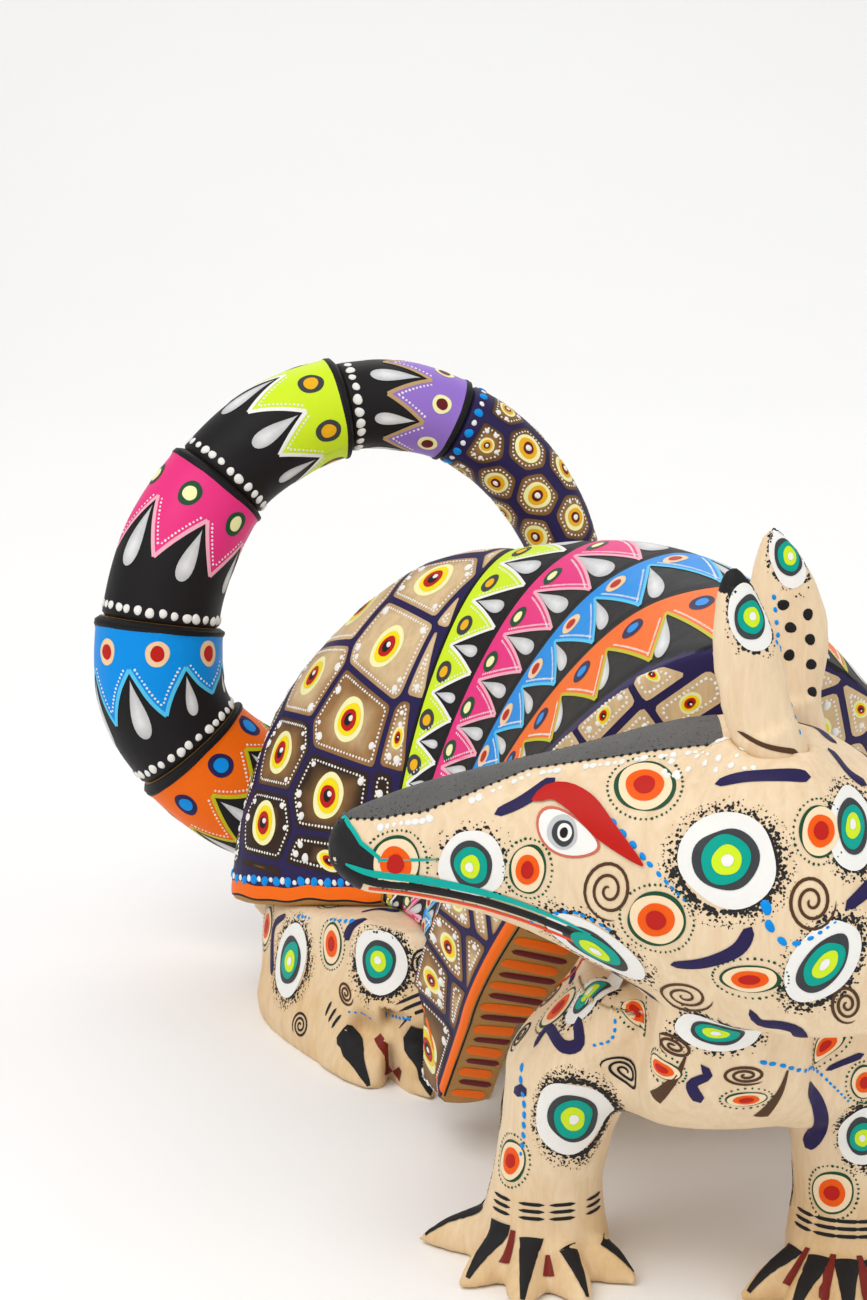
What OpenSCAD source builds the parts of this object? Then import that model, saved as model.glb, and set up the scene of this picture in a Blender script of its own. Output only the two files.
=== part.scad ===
// Painted wooden armadillo, curled to its right, tail raised in a ring.
// Millimetres, +Z up, feet on z = 0, -Y is the side the animal faces.
// The carving stands in the world axes; the spine curves in plan.

/* [Shell] */
// half width of the shell at the hips
shell_half_w = 44.6; // [40:0.1:56]
// height of the back over the hips
shell_top = 126.6; // [105:0.1:145]
// height of the seam between shell and belly
seam_z = 39.5; // [34:0.5:46]
// how far the rump reaches behind the first band
rump_len = 66; // [58:1:76]
// width of one painted band on the spine
band_w = 25; // [18:0.5:28]
// extra length of the shoulder shield in front of the bands
shield_len = 27; // [20:1:34]
// height of the lowest point of the shoulder flaps
flap_z = 13; // [6:0.5:30]
// thickness of the shoulder flaps
flap_t = 12; // [6:0.5:16]

/* [Spine] */
// turn of the spine at the hips, from straight ahead
hip_turn = 52.3; // [30:0.1:70]
// spine length over which the turn falls to a third
turn_decay = 51.4; // [30:1:80]
// forward lean of the hip section
hip_lean = 4.3; // [0:0.1:10]
// forward lean of the shoulder sections
shoulder_lean = 39.5; // [20:0.5:45]
// how much the front face stands straighter than that
front_upright = 5; // [0:0.5:8]

/* [Tail] */
// half width of the tail ring
ring_a = 60.3; // [48:0.1:70]
// half height of the tail ring
ring_b = 67.5; // [54:0.1:78]
// centre of the tail ring
ring_c = [-17.6, 44, 86.4];
// tail radius at the rump
tail_r0 = 17.6; // [14:0.1:20]

/* [Head] */
// length of the head from the ear line to the nose
head_len = 82; // [70:1:94]
// height of the ear tips above their plugs
ear_len = 37; // [28:0.5:46]
// radius of the round plug under each ear
ear_plug_r = 6.6; // [5:0.1:8]

/* [Hidden] */
$fn = 64;
// running clearance of plugs that pull out, glue gap of dowels
run_gap = 0.08;
glue_gap = 0.03;
// bottom centre of the standing figure
stand_at = [11.705, -84.325, 0];
hip = [15.2, -17.7];
band_len = 4 * band_w;
front_s = band_len + shield_len;
rear_dir = [-sin(hip_turn), cos(hip_turn)];
side_dir = [-cos(hip_turn), -sin(hip_turn)];

// ---- general helpers ----
function unit(v) = v / norm(v);
function lerp(a, b, t) = a + (b - a) * t;
function clamp01(t) = min(1, max(0, t));
function sgnpow(v, p) = v == 0 ? 0 : sign(v) * pow(abs(v), p);
function total(v, i = 0) = i == len(v) - 1 ? v[i] : v[i] + total(v, i + 1);
// value from a table of [key, values...] rows with rising keys
function row_at(tab, k, i = 0) =
    (i >= len(tab) - 2 || k <= tab[i + 1][0])
    ? lerp(tab[i], tab[i + 1], (k - tab[i][0]) / (tab[i + 1][0] - tab[i][0]))
    : row_at(tab, k, i + 1);
function ring_axis(r) =
    total([for (i = [0:len(r) - 1]) cross(r[i], r[(i + 1) % len(r)])]);
function middle(r) = total(r) / len(r);

// solid through closed rings of equal point count, flat at both ends
module loft(rings) {
    n = len(rings[0]);
    m = len(rings);
    up = ring_axis(rings[0] - [for (p = rings[0]) middle(rings[0])])
        * (middle(rings[1]) - middle(rings[0])) > 0;
    pts = [for (r = rings) each r];
    sides = [for (i = [0:m - 2]) for (j = [0:n - 1])
        let (a = i * n + j, b = i * n + (j + 1) % n)
        each [[a, a + n, b], [b, a + n, b + n]]];
    caps = [[for (j = [0:n - 1]) j], [for (j = [n - 1:-1:0]) (m - 1) * n + j]];
    faces = concat(sides, caps);
    polyhedron(pts, up ? faces : [for (f = faces) [for (k = [len(f) - 1:-1:0]) f[k]]]);
}
// cylinder from point a to point b
module rod(a, b, r) {
    d = b - a;
    translate(a) rotate([0, acos(d[2] / norm(d)), atan2(d[1], d[0])])
        cylinder(h = norm(d), r = r);
}
// the same outline walked in n equal steps, doubled points dropped
function walked(p) = [for (i = 0, s = 0; i <= len(p);
    s = s + norm(p[(i + 1) % len(p)] - p[i % len(p)]), i = i + 1) s];
function seek(c, d, i = 0) = i >= len(c) - 2 || c[i + 1] > d ? i : seek(c, d, i + 1);
function even(p, n) = let (c = walked(p)) [for (k = [0:n - 1])
    let (d = c[len(p)] * (k + 0.5) / n, i = seek(c, d))
    lerp(p[i], p[(i + 1) % len(p)], (d - c[i]) / (c[i + 1] - c[i]))];
// horizontal oval ring at height z
function oval(c, rx, ry, z, turn = 0, n = 24) = [for (i = [0:n - 1])
    let (a = 360 * i / n - 90, x = rx * sgnpow(cos(a), 0.9), y = ry * sgnpow(sin(a), 0.9))
    [c[0] + x * cos(turn) - y * sin(turn), c[1] + x * sin(turn) + y * cos(turn), z]];

// ---- spine: s = 0 at the hips, negative over the rump ----
function turn_at(s) = s <= 0 ? hip_turn : hip_turn * exp(-s / turn_decay);
walk = [for (i = 0, p = hip; i <= front_s + 2; i = i + 1,
    p = p + [sin(turn_at(i - 0.5)), -cos(turn_at(i - 0.5))]) p];
function spine(s) = s <= 0 ? hip - s * rear_dir
    : lerp(walk[floor(s)], walk[floor(s) + 1], s - floor(s));
function fwd(s) = [sin(turn_at(s)), -cos(turn_at(s))];
function flank(s) = [-cos(turn_at(s)), -sin(turn_at(s))];
function lean_at(s) = s <= 0 ? max(0, hip_lean + 0.2 * s)
    : s < band_len ? lerp(hip_lean, shoulder_lean, s / band_len)
    : shoulder_lean - front_upright * (s - band_len) / shield_len;
function seam_at(s) = s < 0 ? seam_z + 0.185 * s : seam_z;
function shield_t(s) = clamp01((s - band_len) / shield_len);
function half_w(s) = s <= 0
    ? shell_half_w * sqrt(1 - pow(-s / (rump_len + 9), 3.2)) + 8 * pow(-s / rump_len, 2)
        - 11 * pow(-s / rump_len, 16)
    : shell_half_w + 14.1 * pow(min(s, band_len) / band_len, 2) - 10 * shield_t(s);
function top_at(s) = s <= 0
    ? shell_top - 12.4 * pow(-s / 30, 1.65) - 10 * pow(-s / rump_len, 24)
    : shell_top + 0.42 * min(s, band_len) - 0.0027 * pow(min(s, band_len), 2)
        - 17 * pow(shield_t(s), 1.5);
function curve_pow(s) = 1.1 + 0.14 * clamp01(-s / 50) + 0.05 * clamp01(s / band_len)
    + 0.3 * shield_t(s);
// the flank away from the curl bulges more
function bulge(s) = 1 + 0.17 * sin(180 * clamp01(s / front_s));
// point on a section: w across (right side positive), h up the leaning plane
function on_section(s, w, h) = let (p = spine(s) + flank(s) * w
    + fwd(s) * h * sin(lean_at(s))) [p[0], p[1], seam_at(s) + h * cos(lean_at(s))];
function arch(s, n = 28) = let (rise = (top_at(s) - seam_at(s)) / cos(lean_at(s)),
    e = curve_pow(s)) [for (i = [0:n])
    on_section(s, (i > n / 2 ? bulge(s) : 1) * half_w(s) * sgnpow(cos(180 * i / n), e), rise * sgnpow(sin(180 * i / n), e))];
shell_stations = concat([-rump_len, -63, -58, -51, -43, -34, -24, -12],
    [for (i = [0:8]) band_len * i / 8], [for (i = [1:4]) band_len + shield_len * i / 4]);
// the plane of the shell's front face, used by head and chest
face_q = on_section(front_s, 0, 0);
face_n = let (l = lean_at(front_s), f = fwd(front_s))
    [f[0] * cos(l), f[1] * cos(l), -sin(l)];
face_up = unit(on_section(front_s, 0, 10) - face_q);
seat = on_section(-rump_len, 0, 17);
rear3 = [rear_dir[0], rear_dir[1], 0];

// shoulder flap on one side: k = 1 right, -1 left
module flap(k) {
    function drop(s) = (seam_z - flap_z) * clamp01(0.3 + (s - band_len - 4) / 6)
        / cos(lean_at(s));
    function out_w(s) = half_w(s) * (k < 0 ? bulge(s) : 1);
    function flare(s) = 5 * shield_t(s) * drop(s) / 33 + 0.5;
    loft([for (s = [band_len + 3, band_len + 7, band_len + 11, band_len + 17, band_len + 22,
        front_s]) let (w = out_w(s), d = drop(s), f = flare(s)) [
        on_section(s, k * (w - 2), 5), on_section(s, k * (w - 1 + 0.3 * f), -d * 0.3),
        on_section(s, k * (w - 0.5 + 0.7 * f), -d * 0.7), on_section(s, k * (w + f - 1), -d * 0.97),
        on_section(s, k * (w + f - flap_t / 2), -d),
        on_section(s, k * (w + f - flap_t), -d * 0.97), on_section(s, k * (w - flap_t), 5)]]);
}
module carapace() color("burlywood") difference() {
    union() {
        loft([for (s = shell_stations) arch(s)]);
        flap(1);
        flap(-1);
    }
    rod(seat + rear3, seat - 23 * rear3, 7 + run_gap);
    for (d = shell_pins) rod(d[0], d[1], 4 + glue_gap);
    rod(face_pin[0], face_pin[1], 4 + glue_gap);
}

// ---- belly under the seam ----
// the belly draws in where the curl brings the right thigh close
function belly_w(s) = s < 2 ? min(26, half_w(s) - 6)
    : lerp(26, 34, clamp01((s - 50) / 30)) - 8 * sin(180 * clamp01(s / 50));
function belly_z(s) = s < 0 ? 17 : lerp(17, 27, clamp01((s - 50) / 65));
function belly(s) = let (w = belly_w(s), z0 = belly_z(s), z1 = seam_at(s), p = spine(s),
    f = flank(s)) [for (q = [[1, z1], [1, lerp(z1, z0, 0.45)], [0.86, lerp(z1, z0, 0.8)],
    [0.6, z0], [-0.6, z0], [-0.86, lerp(z1, z0, 0.8)], [-1, lerp(z1, z0, 0.45)], [-1, z1]])
    [p[0] + f[0] * w * q[0], p[1] + f[1] * w * q[0], q[1]]];
module torso() color("tan") difference() {
    loft([for (s = concat([-rump_len + 4, -50, -30, 0, 2], [for (i = [1:9]) 2 + (front_s - 5) * i / 9]))
        belly(s)]);
    for (d = shell_pins) rod(d[0], d[1], 4 + glue_gap);
    for (d = hip_pins) rod(d[0], d[1], 3 + glue_gap);
}

// ---- chest, head and ears ----
deck_z = 72;
chest_x = [42, 76];
seam_gap = 0.05;
function ahead(p) = let (d = (p - face_q) * face_n - seam_gap)
    d >= 0 ? p : p - [0, d / face_n[1], 0];
function keep_x(p, lo, hi) = [min(hi, max(lo, p[0])), p[1], p[2]];
chest_rows = [[40.2, 24, 27, -176], [44, 31, 34, -178], [52, 36, 41, -180],
    [62, 36, 44, -181], [deck_z - seam_gap, 35, 44, -182]];
module chest() color("wheat") difference() {
    loft([for (r = chest_rows) even([for (p = oval([59, r[3]], r[1], r[2], r[0], 0, 72))
        ahead(keep_x(p, chest_x[0], chest_x[1]))], 30)]);
    rod(face_pin[0], face_pin[1], 4 + glue_gap);
    rod(neck_pin[0], neck_pin[1], 4 + glue_gap);
    for (d = shoulder_pins) rod(d[0], d[1], 3 + glue_gap);
}
// head rows: share of the head length from the nose, radius, axis height
head_rows = [[0, 2.6, 99.6], [0.012, 4.6, 100.2], [0.04, 6.5, 100.8], [0.1, 7.9, 101.6],
    [0.18, 9.4, 102.8], [0.28, 11.4, 103.5], [0.38, 13.4, 103.6], [0.48, 15.9, 103.2],
    [0.58, 18.8, 102.3], [0.68, 22.4, 101], [0.78, 26.4, 99.4], [0.88, 30.4, 97.2],
    [1, 34, 94.6], [1.1, 35.6, 92.8], [1.2, 35, 91], [1.3, 31.5, 89.6], [1.38, 25, 89],
    [1.43, 16.5, 88.8], [1.45, 9, 88.8]];
function head_y(x) = -210 + (61 - x) * 0.08;
function head_ring(r) = let (x = 61 - head_len * (1 - r[0])) [for (i = [0:27])
    let (a = 360 * i / 28) [x, head_y(x) + r[1] * 0.96 * cos(a), head_lift + r[2] + r[1] * sin(a)]];
head_lift = 1;
// everything behind the shell's front face
module behind_face() translate(face_q + seam_gap * face_n)
    rotate([0, acos(face_n[2]), atan2(face_n[1], face_n[0])])
    translate([-150, -150, -200]) cube([300, 300, 200]);
ears = [[[65.5, -223.5, 127], [-0.31, -0.06, 0.95]], [[71.8, -200, 126.5], [-0.22, 0.04, 0.975]]];
module ear_bore(e) rod(e[0] - 9 * unit(e[1]), e[0] + 25 * unit(e[1]), ear_plug_r + run_gap);
module head() color("navajowhite") difference() {
    union() {
        loft([for (r = head_rows) head_ring(r)]);
        rod([61, -150, 88], [61, -200, 92], 25);
    }
    translate([-60, -300, 0]) cube([220, 250, deck_z]);
    behind_face();
    for (e = ears) ear_bore(e);
    rod(neck_pin[0], neck_pin[1], 4 + glue_gap);
}
// a leaf on a round plug, along its own axis
module ear(e, l) {
    d = unit(e[1]);
    a = unit(cross([0, -1, 0.1], d));
    b = cross(d, a);
    rows = [[2, 6, 5.4], [6, 7, 5], [12, 8.4, 4.4], [19, 8.6, 3.9], [26, 7, 3.3],
        [32, 4.4, 2.6], [35.5, 2.2, 1.8], [37, 0.8, 0.8]];
    rod(e[0] - 8.9 * d, e[0] + 5 * d, ear_plug_r);
    loft([for (r = rows) let (c = e[0] + d * r[0] * l / 37 + a * -0.0022 * r[0] * r[0])
        [for (i = [0:15]) let (t = 360 * i / 16) c + a * r[1] * cos(t) + b * r[2] * sin(t)
            - b * 1.2 * pow(abs(sin(t)), 2) * (sin(t) < 0 ? -1 : 0)]]);
}
module ear_left() color("navajowhite") ear(ears[0], ear_len);
module ear_right() color("navajowhite") ear(ears[1], ear_len * 1.06);

// ---- legs ----
// pointed toe from root to tip
module toe(root, tip, w, h) {
    d = unit(tip - root);
    n = [-d[1], d[0], 0];
    rows = [[0, 0.85, 1], [0.35, 1, 0.82], [0.7, 0.72, 0.5], [0.92, 0.32, 0.22], [1, 0.08, 0.1]];
    loft([for (r = rows) let (c = lerp(root, tip, r[0])) [for (q = [[-1, 0], [-0.9, 0.5],
        [-0.4, 1], [0.4, 1], [0.9, 0.5], [1, 0]])
        [c[0] + n[0] * q[0] * w / 2 * r[1], c[1] + n[1] * q[0] * w / 2 * r[1],
         0.3 + q[1] * h * r[2]]]]);
}
front_rows = [[deck_z - seam_gap, 36, -183, 21, 25], [62, 35, -183, 20, 24], [52, 32.5, -182, 17, 20],
    [42, 29, -181, 13.6, 15.5], [32, 26.5, -180, 12, 12.8], [20, 24.6, -178, 11.6, 12],
    [11, 24, -177, 13, 12.8], [4, 23.6, -176.5, 14.8, 14], [0, 23.5, -176.5, 14.6, 13.6]];
module front_leg(rows, k, tips, hub) difference() {
    union() {
        loft([for (r = rows) even([for (p = oval([r[1], r[2]], r[3], r[4], r[0], 0, 72))
            ahead(k > 0 ? keep_x(p, -99, chest_x[0] - seam_gap)
            : keep_x(p, chest_x[1] + seam_gap, 199))], 24)]);
        for (t = tips) toe([hub[0], hub[1], 0] + 6 * unit([t[0] - hub[0], t[1] - hub[1], 0]),
            [t[0], t[1], 0], 10.5, 12);
    }
    for (d = shoulder_pins) rod(d[0], d[1], 3 + glue_gap);
}
module front_leg_right() color("wheat") front_leg(front_rows, 1,
    [[-3, -169], [5.5, -194], [17.5, -205], [32, -204], [43.5, -192]], [23.5, -177]);
module front_leg_left() color("wheat") front_leg([for (r = front_rows)
    [r[0], 118 - r[1] - 0.09 * (72 - r[0]), r[2] - 0.16 * (72 - r[0]), r[3], r[4]]], -1,
    [[64.5, -200], [72, -214], [84, -220], [97, -216], [106, -204]], [88, -189]);

// hind leg in rump coordinates: u behind the hips, w outwards
function rump_pt(u, w, z, k) = let (p = hip + rear_dir * u + side_dir * w * k) [p[0], p[1], z];
rear_rows = [[0, 13, 44, 40, 13.5], [5, 13, 43.6, 41.5, 14.5], [13, 11.5, 40.5, 43.5, 16],
    [20, 13.5, 37.5, 44.5, 16], [27, 15, 35.5, 44, 15.5], [45, 15, 34.5, 43, 14.5]];
function rear_ring(r, k) = [for (i = [0:27]) let (a = 360 * i / 28, q = -22,
    x = r[3] * sgnpow(cos(a), 0.85), y = r[4] * sgnpow(sin(a), 0.85),
    u = r[1] + x * cos(q) - y * sin(q), w = max(26, r[2] + x * sin(q) + y * cos(q)))
    rump_pt(u, w, r[0], k)];
// everything above the shell's underside over the rump
module under_shell() translate([hip[0], hip[1], 0])
    rotate([90, 0, atan2(rear_dir[1], rear_dir[0])]) translate([0, 0, -100])
    linear_extrude(200) polygon([[-60, seam_z - seam_gap], [0, seam_z - seam_gap],
        [80, seam_z - 0.185 * 80 - seam_gap], [80, 90], [-60, 90]]);
module rear_leg(k) difference() {
    union() {
        loft([for (r = rear_rows) rear_ring(r, k)]);
        for (t = [[-12, 66.5, 12, 52], [-28.5, 62.5, -4, 48], [-39, 54, -14, 44]])
            toe(rump_pt(t[2], t[3], 0, k), rump_pt(t[0], t[1], 0, k), 12.5, 11);
    }
    under_shell();
    for (d = hip_pins) rod(d[0], d[1], 3 + glue_gap);
}
module rear_leg_right() color("wheat") rear_leg(1);
module rear_leg_left() color("wheat") rear_leg(-1);

// ---- tail: q runs from 0 at the rump to 1 at the tip ----
e1 = [0.974, 0.225, 0];
e2 = [0, 0.156, 0.988];
function on_ring(t) = ring_c + ring_a * cos(t) * e1 + ring_b * sin(t) * e2;
function ring_dir(t) = unit(ring_a * sin(t) * e1 - ring_b * cos(t) * e2);
join_t = 186;
tip_t = -8;
function bezier(a, b, c, d, t) = a * pow(1 - t, 3) + b * 3 * t * pow(1 - t, 2)
    + c * 3 * t * t * (1 - t) + d * pow(t, 3);
// path angle runs down from 240 at the rump to tip_t
function tail_p(t) = t > join_t ? bezier(seat, seat + 16 * rear3,
    on_ring(join_t) - 20 * ring_dir(join_t), on_ring(join_t), (240 - t) / (240 - join_t))
    : on_ring(t);
function tail_d(t) = t > 239.9 ? rear3 : unit(tail_p(t - 0.05) - tail_p(t + 0.05));
// [start angle, end angle, start radius, end radius, rim]
cuts = [[240, 204, tail_r0, 18, 0.7], [204, 172, 17.1, 18, 0.8], [172, 135, 16.7, 15.2, 0.7],
    [135, 98, 14.2, 14.2, 0.6], [98, 66, 12.6, 12, 0.5], [66, tip_t, 11.4, 4.5, 0]];
function tail_ring(t, r, n = 22) = let (d = tail_d(t), a = unit(cross([0.2, -1, 0.1], d)),
    b = cross(d, a)) [for (i = [0:n - 1]) tail_p(t) + r * (a * cos(360 * i / n)
    + b * sin(360 * i / n))];
module tail_part(k) {
    c = cuts[k];
    f = k == 5 ? [0, 0.15, 0.3, 0.45, 0.6, 0.75, 0.87, 0.95, 0.99, 1]
        : [0, 0.2, 0.4, 0.6, 0.8, 0.9, 0.93, 1];
    difference() {
        loft([for (g = f) tail_ring(lerp(c[0], c[1], g),
            k == 5 ? lerp(c[2], c[3], g * g * g) * (g > 0.9 ? sqrt(1.02 - pow((g - 0.9) * 10, 2)) : 1)
            : lerp(c[2], c[3], g) + (g > 0.92 ? c[4] : 0))]);
        for (d = tail_pins) rod(d[0], d[1], 3 + glue_gap);
    }
}
module tail_orange() color("darkorange") {
    tail_part(0);
    rod(seat + 0.5 * rear3, seat - 22 * rear3, 7);
}
module tail_blue() color("deepskyblue") tail_part(1);
module tail_pink() color("deeppink") tail_part(2);
module tail_lime() color("yellowgreen") tail_part(3);
module tail_violet() color("mediumpurple") tail_part(4);
module tail_tip() color("peru") tail_part(5);

// ---- dowels: [start, end] ----
shell_pins = [for (s = [18, 84]) let (p = spine(s)) [[p[0], p[1], seam_z - 10],
    [p[0], p[1], seam_z + 14]]];
face_pin = let (c = face_q + 24 * face_up) [c - 12 * face_n, c + 12 * face_n];
neck_pin = [[59, -200, deck_z - 13], [59, -200, deck_z + 14]];
shoulder_pins = [for (x = chest_x) [[x - 11, -183, 60], [x + 11, -183, 60]]];
hip_pins = [for (k = [1, -1]) [rump_pt(26, 15, 24, k), rump_pt(26, 37, 24, k)]];
tail_pins = [for (k = [1:5]) let (t = cuts[k][0], d = tail_d(t))
    [tail_p(t) - 7 * d, tail_p(t) + 7 * d]];
module pins(list, r) for (d = list) rod(lerp(d[0], d[1], 0.01), lerp(d[1], d[0], 0.01), r);
module tail_dowels() color("sienna") pins(tail_pins, 3);
module leg_dowels() color("sienna") pins(concat(shoulder_pins, hip_pins), 3);
module neck_dowels() color("sienna") pins([face_pin, neck_pin], 4);
module shell_dowels() color("sienna") pins(shell_pins, 4);

translate(-stand_at) {
    carapace();
    torso();
    chest();
    head();
    ear_left();
    ear_right();
    front_leg_right();
    front_leg_left();
    rear_leg_right();
    rear_leg_left();
    tail_orange();
    tail_blue();
    tail_pink();
    tail_lime();
    tail_violet();
    tail_tip();
    tail_dowels();
    leg_dowels();
    neck_dowels();
    shell_dowels();
}
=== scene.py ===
"""Looks of the painted wooden armadillo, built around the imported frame.

Shapes are made in design millimetres, the axes of part.scad; to_row() turns them into frame metres.
Every painted mark is thin geometry pressed onto a carved skin, in layers a few hundredths apart.
"""

import math
import random

import bpy
import numpy as np
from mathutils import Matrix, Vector
from mathutils.bvhtree import BVHTree


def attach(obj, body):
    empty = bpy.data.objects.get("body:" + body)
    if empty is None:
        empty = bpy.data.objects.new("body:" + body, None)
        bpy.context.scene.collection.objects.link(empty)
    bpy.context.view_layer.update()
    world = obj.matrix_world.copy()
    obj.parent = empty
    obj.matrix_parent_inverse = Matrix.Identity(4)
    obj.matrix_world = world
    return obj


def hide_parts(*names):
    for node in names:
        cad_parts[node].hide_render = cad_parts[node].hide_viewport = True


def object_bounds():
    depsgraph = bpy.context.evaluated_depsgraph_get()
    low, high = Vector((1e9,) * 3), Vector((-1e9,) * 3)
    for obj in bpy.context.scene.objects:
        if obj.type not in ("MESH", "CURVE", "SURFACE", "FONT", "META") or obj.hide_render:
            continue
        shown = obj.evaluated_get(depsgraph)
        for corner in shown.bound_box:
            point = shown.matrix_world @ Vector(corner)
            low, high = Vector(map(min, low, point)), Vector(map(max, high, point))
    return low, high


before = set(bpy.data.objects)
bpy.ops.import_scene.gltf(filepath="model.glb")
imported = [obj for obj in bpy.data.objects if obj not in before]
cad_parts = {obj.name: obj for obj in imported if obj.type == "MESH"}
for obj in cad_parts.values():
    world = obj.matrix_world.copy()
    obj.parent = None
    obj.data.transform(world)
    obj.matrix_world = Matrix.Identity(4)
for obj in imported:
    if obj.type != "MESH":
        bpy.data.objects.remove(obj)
cad_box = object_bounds()

MM = 0.001
STAND_AT = np.array([11.705, -84.325, 0.0])  # the design point that the figure stands over
UP = np.array([0.0, 0.0, 1.0])
rng = random.Random(9338)


# ---------------------------------------------------------------- vectors
def to_row(points):
    """Design millimetres to frame metres."""
    return (np.asarray(points, float) - STAND_AT) * MM


def to_design(points):
    """Frame metres to design millimetres."""
    return np.asarray(points, float) / MM + STAND_AT


def unit(v):
    v = np.asarray(v, float)
    return v / max(np.linalg.norm(v), 1e-12)


def lerp(a, b, t):
    return a + (b - a) * t


def clamp01(t):
    return min(1.0, max(0.0, t))


def smooth(t):
    t = clamp01(t)
    return t * t * (3 - 2 * t)


def across(n, hint):
    """Unit vector nearest to hint in the plane with normal n."""
    return unit(hint - n * np.dot(hint, n))


# ---------------------------------------------------------------- materials
def node(tree, kind, **inputs):
    """A shader node with some inputs set; _ stands for a space in their names."""
    made = tree.nodes.new(kind)
    for key, value in inputs.items():
        made.inputs[key.replace("_", " ")].default_value = value
    return made


def rgba(c):
    return (c[0], c[1], c[2], 1.0)


def new_material(name):
    """A node material, its tree and its shader."""
    material = bpy.data.materials.new(name)
    material.use_nodes = True
    tree = material.node_tree
    return material, tree, tree.nodes["Principled BSDF"]


def add_object(name, data):
    """A new object in the scene."""
    made = bpy.data.objects.new(name, data)
    bpy.context.scene.collection.objects.link(made)
    return made


def vertex_rows(mesh):
    """The mesh's points as stored, one row each."""
    co = np.zeros(len(mesh.vertices) * 3)
    mesh.vertices.foreach_get("co", co)
    return co.reshape(-1, 3)


def brushed(name, core, edge=None, rough=0.42, bump=0.12, grain=900.0, speckle=0.0):
    """Matt craft paint: core and edge colours mixed by the mark's shade, with brush streaks and tooth.

    The float attribute "shade" is 1 where the paint is full and 0 where it is thin.
    """
    edge = edge or tuple(0.72 * v for v in core)
    material, tree, shader = new_material(name)
    link = tree.links.new
    shader.inputs["Roughness"].default_value = rough
    shader.inputs["Specular IOR Level"].default_value = 0.14
    where = tree.nodes.new("ShaderNodeTexCoord")
    streaks = node(tree, "ShaderNodeTexNoise", Scale=260.0, Detail=4.0, Roughness=0.6)
    tooth = node(tree, "ShaderNodeTexNoise", Scale=grain * 2.2, Detail=3.0, Roughness=0.6)
    link(where.outputs["Object"], streaks.inputs["Vector"])
    link(where.outputs["Object"], tooth.inputs["Vector"])
    shade = tree.nodes.new("ShaderNodeAttribute")
    shade.attribute_name = "shade"
    thin = node(tree, "ShaderNodeMath")
    thin.operation = "MULTIPLY_ADD"
    thin.inputs[1].default_value = 0.55
    link(streaks.outputs["Fac"], thin.inputs[0])
    link(shade.outputs["Fac"], thin.inputs[2])
    fill = node(tree, "ShaderNodeMapRange", From_Min=0.18, From_Max=1.12)
    link(thin.outputs[0], fill.inputs["Value"])
    mix = tree.nodes.new("ShaderNodeMix")
    mix.data_type = "RGBA"
    mix.inputs[6].default_value = rgba(edge)
    mix.inputs[7].default_value = rgba(core)
    link(fill.outputs["Result"], mix.inputs["Factor"])
    colour = mix.outputs[2]
    if speckle:
        dust = node(tree, "ShaderNodeMapRange", From_Min=0.60, From_Max=0.66, To_Max=speckle)
        link(tooth.outputs["Fac"], dust.inputs["Value"])
        worn = tree.nodes.new("ShaderNodeMix")
        worn.data_type = "RGBA"
        worn.inputs[7].default_value = rgba(tuple(0.35 * v for v in edge))
        link(colour, worn.inputs[6])
        link(dust.outputs["Result"], worn.inputs["Factor"])
        colour = worn.outputs[2]
    link(colour, shader.inputs["Base Color"])
    gloss = node(tree, "ShaderNodeMapRange", To_Min=rough - 0.07, To_Max=rough + 0.1)
    link(streaks.outputs["Fac"], gloss.inputs["Value"])
    link(gloss.outputs["Result"], shader.inputs["Roughness"])
    relief = node(tree, "ShaderNodeBump", Strength=bump, Distance=0.0002)
    link(tooth.outputs["Fac"], relief.inputs["Height"])
    link(relief.outputs["Normal"], shader.inputs["Normal"])
    return material


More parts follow.
